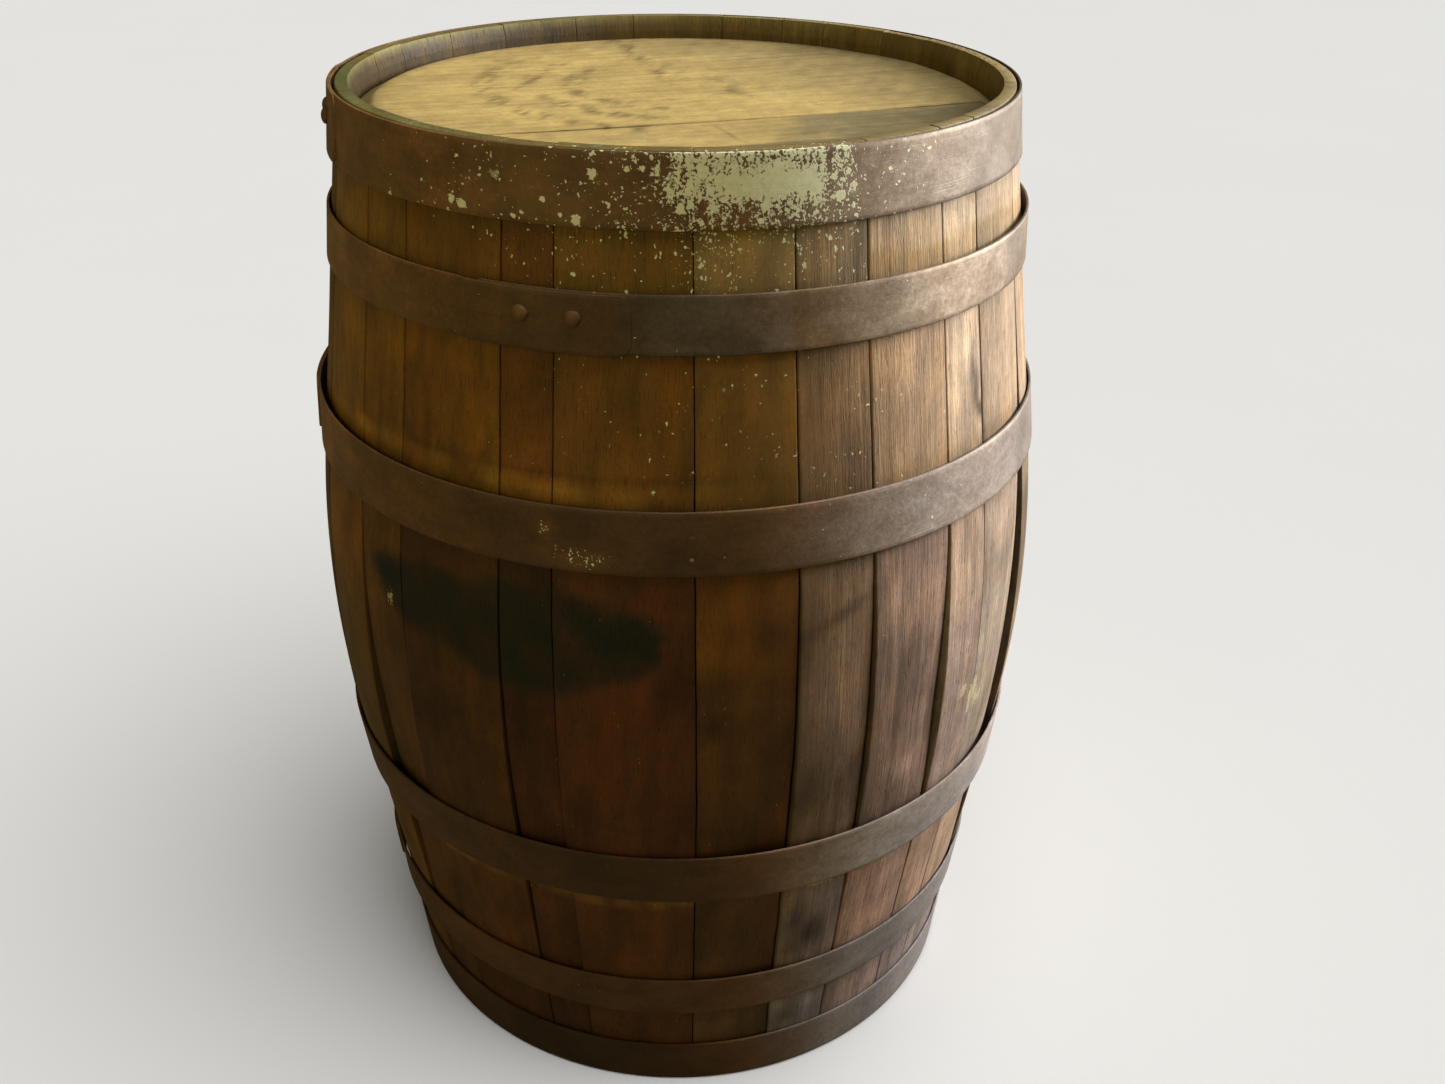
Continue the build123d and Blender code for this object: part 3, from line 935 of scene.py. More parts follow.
# Tan bands on the right, above the quarter hoop and above the bilge hoop.
def tanBands(turnDeg, mm):
    right = smooth(26, 29, turnDeg) * (1 - smooth(75, 90, turnDeg))
    tan = right * smooth(*ghosts["tanFrom"], mm) * (1 - smooth(*ghosts["tanTo"], mm + 2 * np.sin(turnDeg / 5)))
    low = smooth(14, 24, turnDeg) * (1 - smooth(60, 70, turnDeg))
    tan = tan + 0.6 * low * bell(mm, ghosts["lowTanAt"], 10)
    return np.clip(tan, 0, 1)


# Cover of the tar smear: a lens, deeper at its middle, with a ragged border and darker ends.
def tarCover(turnDeg, mm, arc, z):
    side = (turnDeg - smear["turn"]) / smear["halfTurn"]
    depth = smear["down"] + smear["sag"] * bell(turnDeg, -21, 9)
    above = smear["up"] + 12 * bell(turnDeg, -20, 8)
    reach = np.where(mm < smear["mid"], (smear["mid"] - mm) / depth, (mm - smear["mid"]) / above)
    ragged = 0.20 * wander(42, 0.045, arc, z * 1.6) + 0.10 * wander(44, 0.014, arc, z)
    lens = reach**2 + side**4 * 0.9 + ragged
    tar = (1 - smooth(0.45, 1.25, lens)) * (0.86 + 0.14 * wander(43, 0.03, arc, z))
    ends = bell(turnDeg, -47, 2.4) * bell(mm, 532, 13) + bell(turnDeg, -6.0, 3.0) * bell(mm, 525, 15)
    return np.clip(tar * 0.97 + 0.60 * ends, 0, 0.99)


# Sum of ragged bells, one for each mark of a list, by its place, half sizes and depth.
def marked(marks, ragged, turnDeg, mm):
    total = 0 * mm
    for turn, at, halfTurn, halfHigh, amount in marks:
        total = total + amount * bell(turnDeg, turn, halfTurn * ragged) * bell(mm, at, halfHigh * ragged)
    return total


# Tone of a stave: its zone tones, times tan bands, blotches, grime and painted shade by the hoops, with the
# ghosts of old hoops added, then covered by tar, darkened by a drip and stains, and lightened by rubs.
def staveTone(name, rng, turnDeg, z, across, grime):
    mm = z * 1000
    seed = 700 + staveNames.index(name)
    arc = turnDeg * metresPerDegree
    tone = zoneTone(name, rng, turnDeg, mm)
    level = staveLevel(seed, arc, across, z)
    # Painted shade and grime by the hoops.
    grime = hoopShadeAndGrime(grime, mm)
    band, line, foot = hoopGhosts(turnDeg, mm, arc, z)
    tone = tone * (1 - tanBands(turnDeg, mm)[..., None] * np.array(ghosts["tanTakes"]))
    tone = tone * (level.clip(0.25, 2) * grime * (1 - ghosts["lineDepth"] * line))[..., None]
    tone = tone + band[..., None] * np.array(ghosts["bandTone"])
    tone = tone + foot[..., None] * np.array(ghosts["footTone"])
    tar = tarCover(turnDeg, mm, arc, z)[..., None]
    tone = tone * (1 - tar) + tar * np.array(smear["colour"])
    offDrip = (turnDeg - drip["turn"]) - (mm - drip["at"]) * drip["lean"]
    dripped = bell(offDrip, 0, drip["halfTurn"]) * bell(mm, drip["at"], drip["halfHigh"]) * drip["depth"]
    ragged = 1 + 0.35 * wander(seed + 8, 0.012, arc, z * 0.5)
    stain = dripped + marked(staveStains, ragged, turnDeg, mm)
    rub = marked(staveRubs, ragged, turnDeg, mm)
    return tone * ((1 - np.clip(stain, 0, 0.8)) * (1 + rub))[..., None]


# Strength of the lime flakes by place.
def limeStrength(turnDeg, z):
    strength = 0 * z
    for turn, at, halfTurn, halfHigh in limeFlakes:
        strength = strength + bell(turnDeg, turn, halfTurn) * bell(z * 1000, at, halfHigh)
    return 0.85 * np.clip(strength, 0, 1)


# Inside of the chime: its tone, and shares of its red, green and blue from far left to far right, painted
# shade on the left and painted light on the right.
chime = dict(
    tone=(0.105, 0.068, 0.021),
    sides=(-1, -0.5, 0, 1),
    shares=((0.40, 0.46, 1.15, 1.60), (0.36, 0.42, 1.15, 1.75), (0.16, 0.24, 1.0, 1.70)),
)


# Inside of the chime: dark brown with uneven fibres, darkest and warmest on the left by painted shade, lighter
# on the right by painted light.
def chimeTone(seed, turnDeg, z):
    side = np.sin(np.radians(turnDeg))
    share = np.stack([np.interp(side, chime["sides"], values) for values in chime["shares"]], -1)
    arc = turnDeg * metresPerDegree
    level = 0.90 + 0.18 * wander(seed + 5, 0.03, arc, z * 0.5)
    level = level + 0.10 * wander(seed + 6, 0.006, arc, z * 0.2)
    return np.array(chime["tone"]) * share * level[..., None]


bloomSettings = dict(
    backTone=(0.27, 0.255, 0.100),
    frontTone=(0.185, 0.150, 0.058),
    moss=(0.150, 0.210, 0.075),
    rise=11.0,                # millimetres over which it comes up
    onSkin=(866, 1.0),        # where it starts and how strong it is
    onChime=(871, 0.65),
)


# Greenish bloom on the end grain, growing from a height in millimetres to the rim, with moss on the left.
def bloomed(tone, turnDeg, z, start, strength):
    cloud = 0.72 + 0.20 * wander(51, 0.04, turnDeg * metresPerDegree, z)
    green = strength * smooth(start, start + bloomSettings["rise"], z * 1000) * cloud
    front = smooth(-60, 10, turnDeg)[..., None] * (1 - smooth(110, 170, turnDeg))[..., None]
    bloom = np.array(bloomSettings["backTone"]) * (1 - front) + np.array(bloomSettings["frontTone"]) * front
    moss = bell(turnDeg, -81, 7) + 0.3 * bell(turnDeg, -66, 4)
    bloom = bloom * (1 - moss[..., None]) + moss[..., None] * np.array(bloomSettings["moss"])
    return tone * (1 - green[..., None]) + green[..., None] * bloom


# How thickly paint flecks lie on the staves at these turns, over and under the quarter hoop.
staveFlecks = dict(
    highTurns=(-45, -35, -22, -11, 0, 18, 24, 28, 32),
    high=(0, 0.02, 0.03, 0.18, 0.50, 0.55, 0.25, 0.02, 0),
    lowTurns=(-35, -15, 0, 30, 45, 60),
    low=(0, 0.03, 0.04, 0.03, 0.012, 0),
)


# Density of old paint flecks on the staves: thick on the upper front, thinning downwards.
def splashDensity(turnDeg, z):
    mm = z * 1000
    high = np.interp(turnDeg, staveFlecks["highTurns"], staveFlecks["high"])
    low = np.interp(turnDeg, staveFlecks["lowTurns"], staveFlecks["low"])
    high = high * (0.5 + 0.5 * smooth(785, 825, mm))
    low = low * (0.12 + 0.88 * smooth(600, 700, mm))
    atTop = smooth(752, 766, mm)
    return high * atTop + low * (1 - atTop)


# Heights of a stave's rows: close together at its ends and the groove's corners, then evenly spaced.
def makeLevels():
    end = [0, 0.0005, 0.0012, 0.0022, 0.004, staves["bevelDepth"]]
    low = crozeStart()
    deep = low + staves["crozeWidth"]
    groove = [corner + side for corner in (low, deep) for side in (-0.0001, 0.0001)]
    near = np.array(end + groove)
    spread = np.arange(staves["firstRow"], halfHeight, staves["rowPitch"])
    half = np.unique(np.round(np.concatenate([near, spread]), 5))
    return np.concatenate([half, height - half[::-1]])


# How far a head's groove starts from the stave ends: in the middle of the head's thickness.
def crozeStart():
    low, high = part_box("top_head_board_1")
    return height - (low[2] + high[2]) / 2 - staves["crozeWidth"] / 2


# Inside radius by height: body parallel to the outside, bored straight at the ends, bevelled at the rim,
# with a groove for the head.
def innerRadius(z):
    d = np.minimum(z, height - z)
    body = outerRadius(z) - staves["thickness"] / math.cos(slope)
    bored = np.where(d < staves["boredDepth"], np.maximum(body, endBore), body)
    bevel = endBore + (endRadius - staves["endFlat"] - endBore) * (1 - d / staves["bevelDepth"])
    inside = np.where(d < staves["bevelDepth"], bevel, bored)
    low = crozeStart()
    inGroove = (d > low) & (d < low + staves["crozeWidth"])
    return np.where(inGroove, endBore + staves["crozeDepth"], inside)


# Gap of the joint on a stave's counter-clockwise side at height z, and how far the joint wanders sideways.
def jointLine(name, z):
    extra, centre, halfWidth = openJoints.get(name, (0.0, 0.5, 0.3))
    seed = 100 + staveNames.index(name)
    middle = extra * bell(z / height, centre, halfWidth) + staves["openJoint"] * bell(z / height, 0.5, 0.5)
    gap = 0.0001 + middle * (1 + 0.25 * wander(seed, 0.12, z))
    drift = staves["jointWander"] * wander(seed + 50, 0.30, z) + 0.0002 * wander(seed + 90, 0.03, z)
    return gap, drift


# How far a stave's skin lies inside the even bow: worn side edges, rounded ends, its own set and its sinking,
# added up.
def skinDrop(name, before, rng, across, width, z):
    seed = staveNames.index(name)
    share = across / width
    uneven = 1 + 0.35 * wander(seed + 20, 0.07, z, across * 0)
    leftRound = crispJoints.get(before, staves["edgeRound"]) * uneven
    rightRound = crispJoints.get(name, staves["edgeRound"]) * uneven
    fromEnd = np.minimum(z, height - z)
    drop = roundedDrop(across, leftRound) + roundedDrop(width - across, rightRound)
    drop = drop + roundedDrop(fromEnd + 0 * across, staves["endRound"])
    free = 0.15 + 0.85 * smooth(0.02, 0.12, fromEnd)
    ownSet = 0.00030 * (1 + wander(seed + 300, 0.16, z, across * 2))
    ownSet = ownSet + 0.00010 * (1 + wander(seed + 400, 0.03, z * 0.3, across))
    ownSet = ownSet + rng.uniform(0.0001, 0.0007) * (2 * share - 1) ** 2 + rng.uniform(0, 0.0006)
    leftSink, rightSink, deepest, spread = sunkStaves.get(name, (0, 0, 0.5, 0.3))
    sink = (leftSink * (1 - share) + rightSink * share) * bell(z / height, deepest, spread)
    return drop + ownSet * free + sink


# Darkening towards a stave's two side edges, less beside a crisp joint.
def jointGrime(name, before, across, width):
    left, right = (staves["crispGrime" if side in crispJoints else "jointGrime"] for side in (before, name))
    reach = staves["grimeReach"]
    return 1 - left * np.exp(-across / reach) - right * np.exp((across - width) / reach)


# One stave: a skin of columns across it and rows along it, from joint to joint, and its back inside the
# barrel.
def makeStave(name, levels, before):
    seed = staveNames.index(name)
    rng = np.random.default_rng(seed)
    middle, offsets = spreadOf(pointsOf(name))
    z = levels[None, :]
    r = outerRadius(z)
    leftGap, leftWander = jointLine(before, z)
    rightGap, rightWander = jointLine(name, z)
    fromLeft = offsets.min() + (leftGap / 2 + leftWander) / r
    fromRight = offsets.max() - (rightGap / 2 - rightWander) / r
    width = (offsets.max() - offsets.min()) * bilgeRadius
    edge = np.array([0, 0.0005, 0.0012, 0.0022, 0.0038])
    inner = np.linspace(edge[-1], width - edge[-1], max(int(width / staves["columnPitch"]), 8))
    across = np.unique(np.round(np.concatenate([edge, inner, width - edge]), 6))[:, None]
    share = across / width
    angle = middle + fromLeft * (1 - share) + fromRight * share
    skinRadius = r - skinDrop(name, before, rng, across, width, z)
    backRadius = innerRadius(z) + 0 * across
    grime = jointGrime(name, before, across, width) + 0 * z
    topCut = 0.0 if name in staves["levelSides"] else rng.uniform(0.0001, staves["unevenEnd"])
    footCut = 0.0 if seed % 3 == 0 else rng.uniform(0.0, staves["unevenFoot"])
    lift = np.interp(z, [0, 0.02, height - 0.02, height], [footCut, 0, 0, -topCut])
    zz = z + lift + 0 * across
    skin = np.stack([skinRadius * np.sin(angle), -skinRadius * np.cos(angle), zz], -1)
    back = np.stack([backRadius * np.sin(angle), -backRadius * np.cos(angle), zz], -1)
    points = np.concatenate([skin.reshape(-1, 3), back.reshape(-1, 3)])
    faces = shellFaces(across.shape[0], levels.size)
    grainPlace = rng.uniform(0, 9, 2)
    u = np.broadcast_to(across, zz.shape).ravel() + grainPlace[0]
    v = zz.ravel() + grainPlace[1]
    backGrain = u + staves["backGrain"]
    uv = np.concatenate([np.column_stack([u, v]), np.column_stack([backGrain, v])])
    turnDeg = np.degrees((angle + np.pi) % (2 * np.pi) - np.pi) + 0 * zz
    tone = staveTone(name, rng, turnDeg, zz, across, grime)
    skinTone = bloomed(tone, turnDeg, zz, *bloomSettings["onSkin"]).reshape(-1, 3)
    backTone = bloomed(chimeTone(seed, turnDeg, zz), turnDeg, zz, *bloomSettings["onChime"]).reshape(-1, 3)
    # Weathered on the right, the lit side: stronger grain and ash grey, partly a painted sheen.
    weather = (smooth(14, 24, turnDeg) * (1 - smooth(110, 150, turnDeg))).ravel()
    splash = splashDensity(turnDeg, zz).ravel()
    lime = limeStrength(turnDeg, zz).ravel()
    values = {
        "weather": np.concatenate([weather, np.full(weather.size, staves["backWeather"])]),
        "splash": np.concatenate([splash, splash * 0]),
        "lime": np.concatenate([lime, lime * 0]),
    }
    colours = {"tone": np.clip(np.concatenate([skinTone, backTone]), 0.002, 1)}
    makePiece(name + "_board", points, faces, staveFinish, "barrel", [name], uv, colours, values)


# All staves, in their order round the barrel, each told which one stands before it.
def makeStaves():
    levels = makeLevels()
    order = sorted(staveNames, key=lambda n: spreadOf(pointsOf(n))[0])
    for index, name in enumerate(order):
        makeStave(name, levels, order[index - 1])
    print("staves made:", len(order))


hoops = dict(
    steps=640,                # sections along the whole strip
    thickness=0.002,
    lap=0.120,
    climb=0.018,
    lapFit=0.0001,
    edgeRound=0.0007,
    cornerRadius=0.009,       # rounded corners of the lapped end
    dent=0.0006,
    sway=0.0006,              # the strip's slow rise and fall
    hammeredLength=0.030,
)

# Each hoop's lap in degrees from the front, how far its loose edge stands off in metres and towards where,
# and how thin the lapped end is hammered.
hoopSettings = {
    "top_head_hoop": dict(lapAt=-79.0, standOff=0.0, towards=-60.0, hammered=0.0),
    "top_quarter_hoop": dict(lapAt=-18.0, standOff=0.0016, towards=80.0, hammered=0.8),
    "top_bilge_hoop": dict(lapAt=-90.0, standOff=0.0016, towards=-80.0, hammered=0.0),
    "bottom_bilge_hoop": dict(lapAt=150.0, standOff=0.0008, towards=60.0, hammered=0.0),
    "bottom_quarter_hoop": dict(lapAt=-86.0, standOff=0.0008, towards=-60.0, hammered=0.0),
    "bottom_head_hoop": dict(lapAt=104.0, standOff=0.0005, towards=60.0, hammered=0.0),
}

# How light each hoop's steel is at these turns, partly painted light on shaded sides and painted shade on
# bright ones, and how thickly paint flecks lie on it.
levelTurns = (-65, -45, -30, -15, 0, 10, 20, 30, 40, 50, 65)
hoopLevelsWithPaintedLight = {
    "top_head_hoop": (1.92, 1.88, 1.60, 1.50, 1.40, 1.40, 1.35, 1.38, 1.02, 0.68, 0.48),
    "top_quarter_hoop": (2.85, 1.70, 0.92, 0.82, 0.54, 0.76, 1.50, 1.36, 1.78, 1.46, 0.64),
    "top_bilge_hoop": (2.40, 1.20, 0.96, 0.80, 0.82, 1.05, 1.30, 1.38, 1.45, 1.50, 0.92),
    "bottom_bilge_hoop": (1.12, 1.02, 0.72, 0.60, 0.62, 1.07, 1.80, 1.80, 1.85, 1.82, 2.60),
    "bottom_quarter_hoop": (0.94, 0.94, 0.92, 0.80, 1.10, 1.08, 1.40, 1.38, 1.16, 1.66, 2.20),
    "bottom_head_hoop": (0.76, 0.74, 0.38, 0.46, 0.60, 1.10, 0.96, 1.38, 1.36, 2.00, 2.20),
}
fleckTurns = (-52, -40, -34, -12, -8, -2, 20, 24, 27, 36, 45, 60)
hoopFlecks = {
    "top_head_hoop": (0, 0.05, 0.18, 0.20, 0.45, 0.60, 0.60, 0.45, 0.15, 0.09, 0.01, 0),
    "top_quarter_hoop": (0, 0.002, 0.004, 0.006, 0.006, 0.006, 0.006, 0.004, 0.002, 0, 0, 0),
    "top_bilge_hoop": (0, 0.002, 0.004, 0.006, 0.006, 0.008, 0.02, 0.02, 0.02, 0.02, 0.01, 0),
}


# Chalky rubs on the bilge hoop: turn, height, half sizes and strength.
chalkMarks = ((-13, 592, 4.5, 9, 0.80), (-18, 611, 0.9, 6, 1.0))
fewFlecks = 0.002             # on the hoops that the paint missed
nearEdge = 0.0003             # what counts as on a hoop's edge


# A hoop's edges in the frame: heights and inside radii of its lower and upper edge.
def hoopEdges(name):
    points = pointsOf(name)
    radius = radiusOf(points)
    z = points[:, 2]
    low, high = z.min(), z.max()
    return low, high, radius[z < low + nearEdge].min(), radius[z > high - nearEdge].min()


# Inside radius of the strip at a turn and height share, before any lap.
def stripRadius(name, turn, share):
    lowRadius, highRadius = hoopEdges(name)[2:]
    hoop = hoopSettings[name]
    looseIsHigh = name.startswith("top")
    loose = share if looseIsHigh else 1 - share
    swing = hoop["standOff"] * np.cos(turn - math.radians(hoop["towards"])) * loose
    dents = hoops["dent"] * wander(len(name), 1.1, turn, share * 0.2) * loose
    return lowRadius + (highRadius - lowRadius) * share + swing + np.maximum(dents, -0.0003)


# One patch of old paint on the front of the top hoop: the strongest of a solid core, a holed top and left
# side, and what dissolves below and to the right.
def patchStrength(turnDeg, mm):
    left, right = smooth(-4.5, 0.5, turnDeg), 1 - smooth(18, 24, turnDeg)
    core = 0.88 * smooth(0, 7, turnDeg) * right * smooth(838, 855, mm)
    core = core * (1 - 0.32 * smooth(862, 870, mm))
    top = 0.62 * left * right * smooth(858, 868, mm)
    side = 0.58 * left * (1 - smooth(3, 7, turnDeg)) * smooth(836, 848, mm)
    below = 0.49 * smooth(-9, 0, turnDeg) * (1 - smooth(20, 26, turnDeg))
    below = below * (0.76 + 0.24 * smooth(828, 848, mm))
    beyond = 0.47 * smooth(19, 21.5, turnDeg) * (1 - smooth(24, 28, turnDeg)) * smooth(838, 850, mm)
    return np.maximum.reduce([core, top, side, below, beyond])


# Wear of the steel by place: worn bare on the right, partly a painted sheen of the lit side, cooler low down,
# with paint flecks, the patch, chalk marks and the hoop's level by turn, partly painted light and shade.
def steelWearAndPaintedLight(name, turnDeg, z):
    mm = z * 1000
    # Worn bare on the right: partly real wear, partly a painted sheen of the lit side.
    worn = 0.05 + 0.80 * smooth(6, 38, turnDeg) * (1 - smooth(95, 150, turnDeg))
    worn = worn + 0.16 * smooth(120, 170, np.abs(turnDeg))
    if name == "top_quarter_hoop":
        worn = worn + 0.50 * smooth(-10, 2, turnDeg) * (1 - smooth(13, 17, turnDeg))
    chalk = marked(chalkMarks, 1, turnDeg, mm)
    patch = patchStrength(turnDeg, mm) if name == "top_head_hoop" else chalk * 0.52
    flecks = np.interp(turnDeg, fleckTurns, hoopFlecks.get(name, (fewFlecks,) * len(fleckTurns)))
    cold = 0.4 * bell(mm, 765, 20) * smooth(-14, 0, turnDeg) * (1 - smooth(14, 18, turnDeg))
    # The level by turn is partly painted light and painted shade.
    level = np.interp(turnDeg, levelTurns, hoopLevelsWithPaintedLight[name], period=360)
    values = {
        "worn": worn,
        "cool": np.maximum(1 - smooth(230, 420, mm) + 0.5 * bell(mm, 605, 40), cold),
        "patch": patch,
        "level": level * (1 + 0.9 * chalk),
        "splash": flecks,
    }
    return {key: value.ravel() for key, value in values.items()}


# Strip of steel: its section follows the turn, climbs one thickness onto itself and ends in rounded corners.
# The section is a flat outside between two rolled edges, and a flat inside.
def makeHoop(name):
    low, high, lowRadius, highRadius = hoopEdges(name)
    meanRadius = (lowRadius + highRadius) / 2
    lapTurn = hoops["lap"] / meanRadius
    start = math.radians(hoopSettings[name]["lapAt"]) - lapTurn / 2
    total = 2 * math.pi + lapTurn
    corner = hoops["cornerRadius"]
    ends = np.array([0, 0.0003, 0.001, 0.0022, 0.004, 0.0065, 0.009]) / meanRadius
    between = np.linspace(ends[-1], total - ends[-1], hoops["steps"])
    run = np.unique(np.concatenate([ends, between, total - ends]))
    turn = start + run
    climb = smooth(2 * math.pi - hoops["climb"] / meanRadius, 2 * math.pi, run)
    nearEnd = np.minimum(run, total - run) * meanRadius
    inset = corner - np.sqrt(np.maximum(corner**2 - np.clip(corner - nearEnd, 0, corner) ** 2, 0))
    halfWidth = (high - low) / 2
    squeeze = 1 - np.minimum(inset, halfWidth * 0.98) / halfWidth
    e = hoops["edgeRound"] / (2 * halfWidth)
    flat = np.linspace(0.08, 0.92, 11)
    outside = np.concatenate([[0.0, e * 0.3, e], flat, [1 - e, 1 - e * 0.3, 1.0]])
    edgeLift = np.concatenate([[0.55, 0.85, 1], flat * 0 + 1, [1, 0.85, 0.55]])
    inside = np.array([1.0, 0.75, 0.5, 0.25, 0.0])
    share = np.concatenate([outside, inside])[None, :]
    lift = np.concatenate([edgeLift, np.zeros(5)])[None, :] * hoops["thickness"]
    fullShare = 0.5 + (share - 0.5) * squeeze[:, None]
    wave = hoops["sway"] * wander(len(name) + 7, 1.6, turn)[:, None]
    radius = stripRadius(name, turn[:, None], fullShare)
    fromLastEnd = (total - run) * meanRadius
    thinned = 1 - hoopSettings[name]["hammered"] * (1 - smooth(0, hoops["hammeredLength"], fromLastEnd))
    radius = radius + climb[:, None] * (hoops["thickness"] + hoops["lapFit"]) + lift * thinned[:, None]
    z = low + (high - low) * fullShare + wave * (0 if "head" in name else 1)
    points = np.stack([radius * np.sin(turn[:, None]), -radius * np.cos(turn[:, None]), z], -1)
    faces = tubeFaces(run.size, share.size)
    u = np.broadcast_to(run[:, None] * meanRadius, z.shape)
    v = np.broadcast_to(fullShare * 2 * halfWidth, z.shape)
    uv = np.column_stack([u.ravel(), v.ravel()])
    turnDeg = (np.degrees(turn[:, None]) + 180) % 360 - 180 + 0 * z
    values = {"edge": np.broadcast_to(np.abs(share - 0.5) * 2, z.shape).ravel()}
    values.update(steelWearAndPaintedLight(name, turnDeg, z))
    points = points.reshape(-1, 3)
    makePiece(name + "_strip", points, faces, steelFinish, "barrel", [name], uv, {}, values)


rivets = dict(
    headRadius=0.0064,
    headHeight=0.0036,
    raised=0.003,             # above the middle of the strip
    polish=1.5,               # lighter than the strip, up to the brightest
    brightest=1.6,
    around=30,
    rings=9,
    foot=0.0006,
)


# Domed head: rings of a sphere cap, its rim rolled under and its back closed inside the strip.
def rivetHead(place, outward, upward, seed):
    side = np.cross(upward, outward)
    t = np.linspace(0.02, 1, rivets["rings"])
    ringRadius = np.concatenate([[0.6, 1.0], np.sin(np.pi / 2 * t[::-1])]) * rivets["headRadius"]
    ringHeight = np.concatenate([[0.0], np.cos(np.pi / 2 * t[::-1])[1:]]) * rivets["headHeight"]
    ringHeight = np.concatenate([[-rivets["foot"]] * 2, ringHeight])
    around = np.linspace(0, 2 * np.pi, rivets["around"], endpoint=False)
    uneven = 1 + 0.07 * wander(seed, 2.5, around)[None, :] * np.ones((ringRadius.size, 1))
    sideways, lengthways = ringRadius[:, None] * np.cos(around), ringRadius[:, None] * np.sin(around)
    uneven = uneven * (1 + 0.05 * wander(seed + 5, 0.008, sideways, lengthways))
    reach = ringRadius[:, None] * uneven
    spokes = np.cos(around)[:, None] * side + np.sin(around)[:, None] * upward
    rings = place + reach[..., None] * spokes + ringHeight[:, None, None] * outward
    poles = np.array([place - rivets["foot"] * outward, place + rivets["headHeight"] * outward])
    return np.concatenate([rings.reshape(-1, 3), poles]), turnedFaces(ringRadius.size, around.size)


# Two heads over each hoop's lap, leaning with the strip, at the turns of the frame's rivets.
def makeRivets(hoopName):
    node = hoopName + "_rivets"
    points = pointsOf(node)
    middle, offsets = spreadOf(points)
    low, high, lowRadius, highRadius = hoopEdges(hoopName)
    lean = math.atan2(lowRadius - highRadius, high - low)
    allPoints, allFaces = [], []
    for number, chosen in enumerate((offsets < 0, offsets > 0)):
        turn = middle + (offsets[chosen].min() + offsets[chosen].max()) / 2
        radial = np.array([math.sin(turn), -math.cos(turn), 0])
        outward = radial * math.cos(lean) + np.array([0, 0, math.sin(lean)])
        upward = np.array([0, 0, math.cos(lean)]) - radial * math.sin(lean)
        seat = float(stripRadius(hoopName, turn, 0.5)) + 2 * hoops["thickness"] + hoops["lapFit"]
        place = radial * seat + np.array([0, 0, (low + high) / 2 + rivets["raised"]])
        found, faces = rivetHead(place, outward, upward, len(hoopName) * 3 + number)
        base = sum(len(p) for p in allPoints)
        allFaces += [[i + base for i in f] for f in faces]
        allPoints.append(found)
    found = np.concatenate(allPoints)
    values = steelWearAndPaintedLight(hoopName, np.degrees(turnOf(found[:, 0], found[:, 1])), found[:, 2])
    values["edge"] = np.zeros(len(found))
    values["level"] = np.minimum(values["level"] * rivets["polish"], rivets["brightest"])
    uv = found[:, [0, 2]]
    makePiece(node + "_heads", found, allFaces, steelFinish, "barrel", [node], uv, {}, values)


# All hoops, each with its two rivet heads.
def makeHoops():
    for name in hoopSettings:
        makeHoop(name)
        makeRivets(name)
    print("hoops and rivets made:", len(hoopSettings))


heads = dict(
    topTurn=17.0,             # degrees that the boards run off the X axis
    bottomTurn=-24.0,
    flatRadius=0.250,
    bevel=0.0081,
    pitch=0.0036,
    edgeRound=0.0007,
    sag=0.0022,               # the boards' slow hollow towards the middle
    columns=150,
    limit=0.985,              # how far a board's straight side may run, as a share of the rim
    honey=(0.44, 0.325, 0.122),
    grey=(0.200, 0.165, 0.080),
    knots=((34, -10), (52, -12), (112, -2), (150, -9), (-12, -20), (-180, 12)),    # millimetres
    smudgeMiddle=(25, 40),
    smudgeArcs=(178, 140, 104),
)


# How grey a head board has turned: more to the right, most in the corner of the two front boards.
def boardGrey(name, x, y, u, v):
    border = 14 * wander(66, 0.05, u, v) + 8 * wander(67, 0.015, u * 0.3, v)
    if name == "top_head_board_1":
        return 0.42 + 0.53 * smooth(-30, 25, x + border)
    if name == "top_head_board_2":
        corner = smooth(0, 55, x - 35 - 0.25 * (y + 100) + border)
        return 0.80 * corner * (1 - smooth(-75, -15, y + border)) + 0.12
    return smooth(20, 200, x + 0.4 * y) * 0.55


# Marks on the top head: knots along one joint, a short crack, and faint broken smudges in arcs and two lines
# that mean nothing.
def headMarks(x, y, u, v):
    marks = 0 * x
    for knotX, knotY in heads["knots"]:
        marks = marks + 0.40 * bell(x, knotX, 4.5) * bell(y, knotY, 2.2)
    crack = smooth(-182, -174, y) * (1 - smooth(-120, -112, y))
    marks = marks + 0.34 * bell(x, -5 + 2 * np.sin(y / 17), 1.6) * crack
    middleX, middleY = heads["smudgeMiddle"]
    around = np.degrees(np.arctan2(y - middleY, x - middleX))
    reach = np.hypot(x - middleX, y - middleY) + 5 * wander(73, 0.035, u, v)
    side = smooth(120, 135, around % 360) * (1 - smooth(238, 252, around % 360))
    broken = np.clip(0.40 + 0.8 * wander(71, 0.030, u, v) + 0.7 * wander(72, 0.008, u, v), 0, 1)
    for arc in heads["smudgeArcs"]:
        marks = marks + 0.52 * bell(reach, arc, 9) * side * broken
    marks = marks + 0.50 * bell(x, 12, 12) * smooth(20, 60, y) * (1 - smooth(225, 262, y)) * broken
    return marks + 0.38 * bell(x, 48, 9) * smooth(-40, -20, y) * (1 - smooth(40, 70, y)) * broken


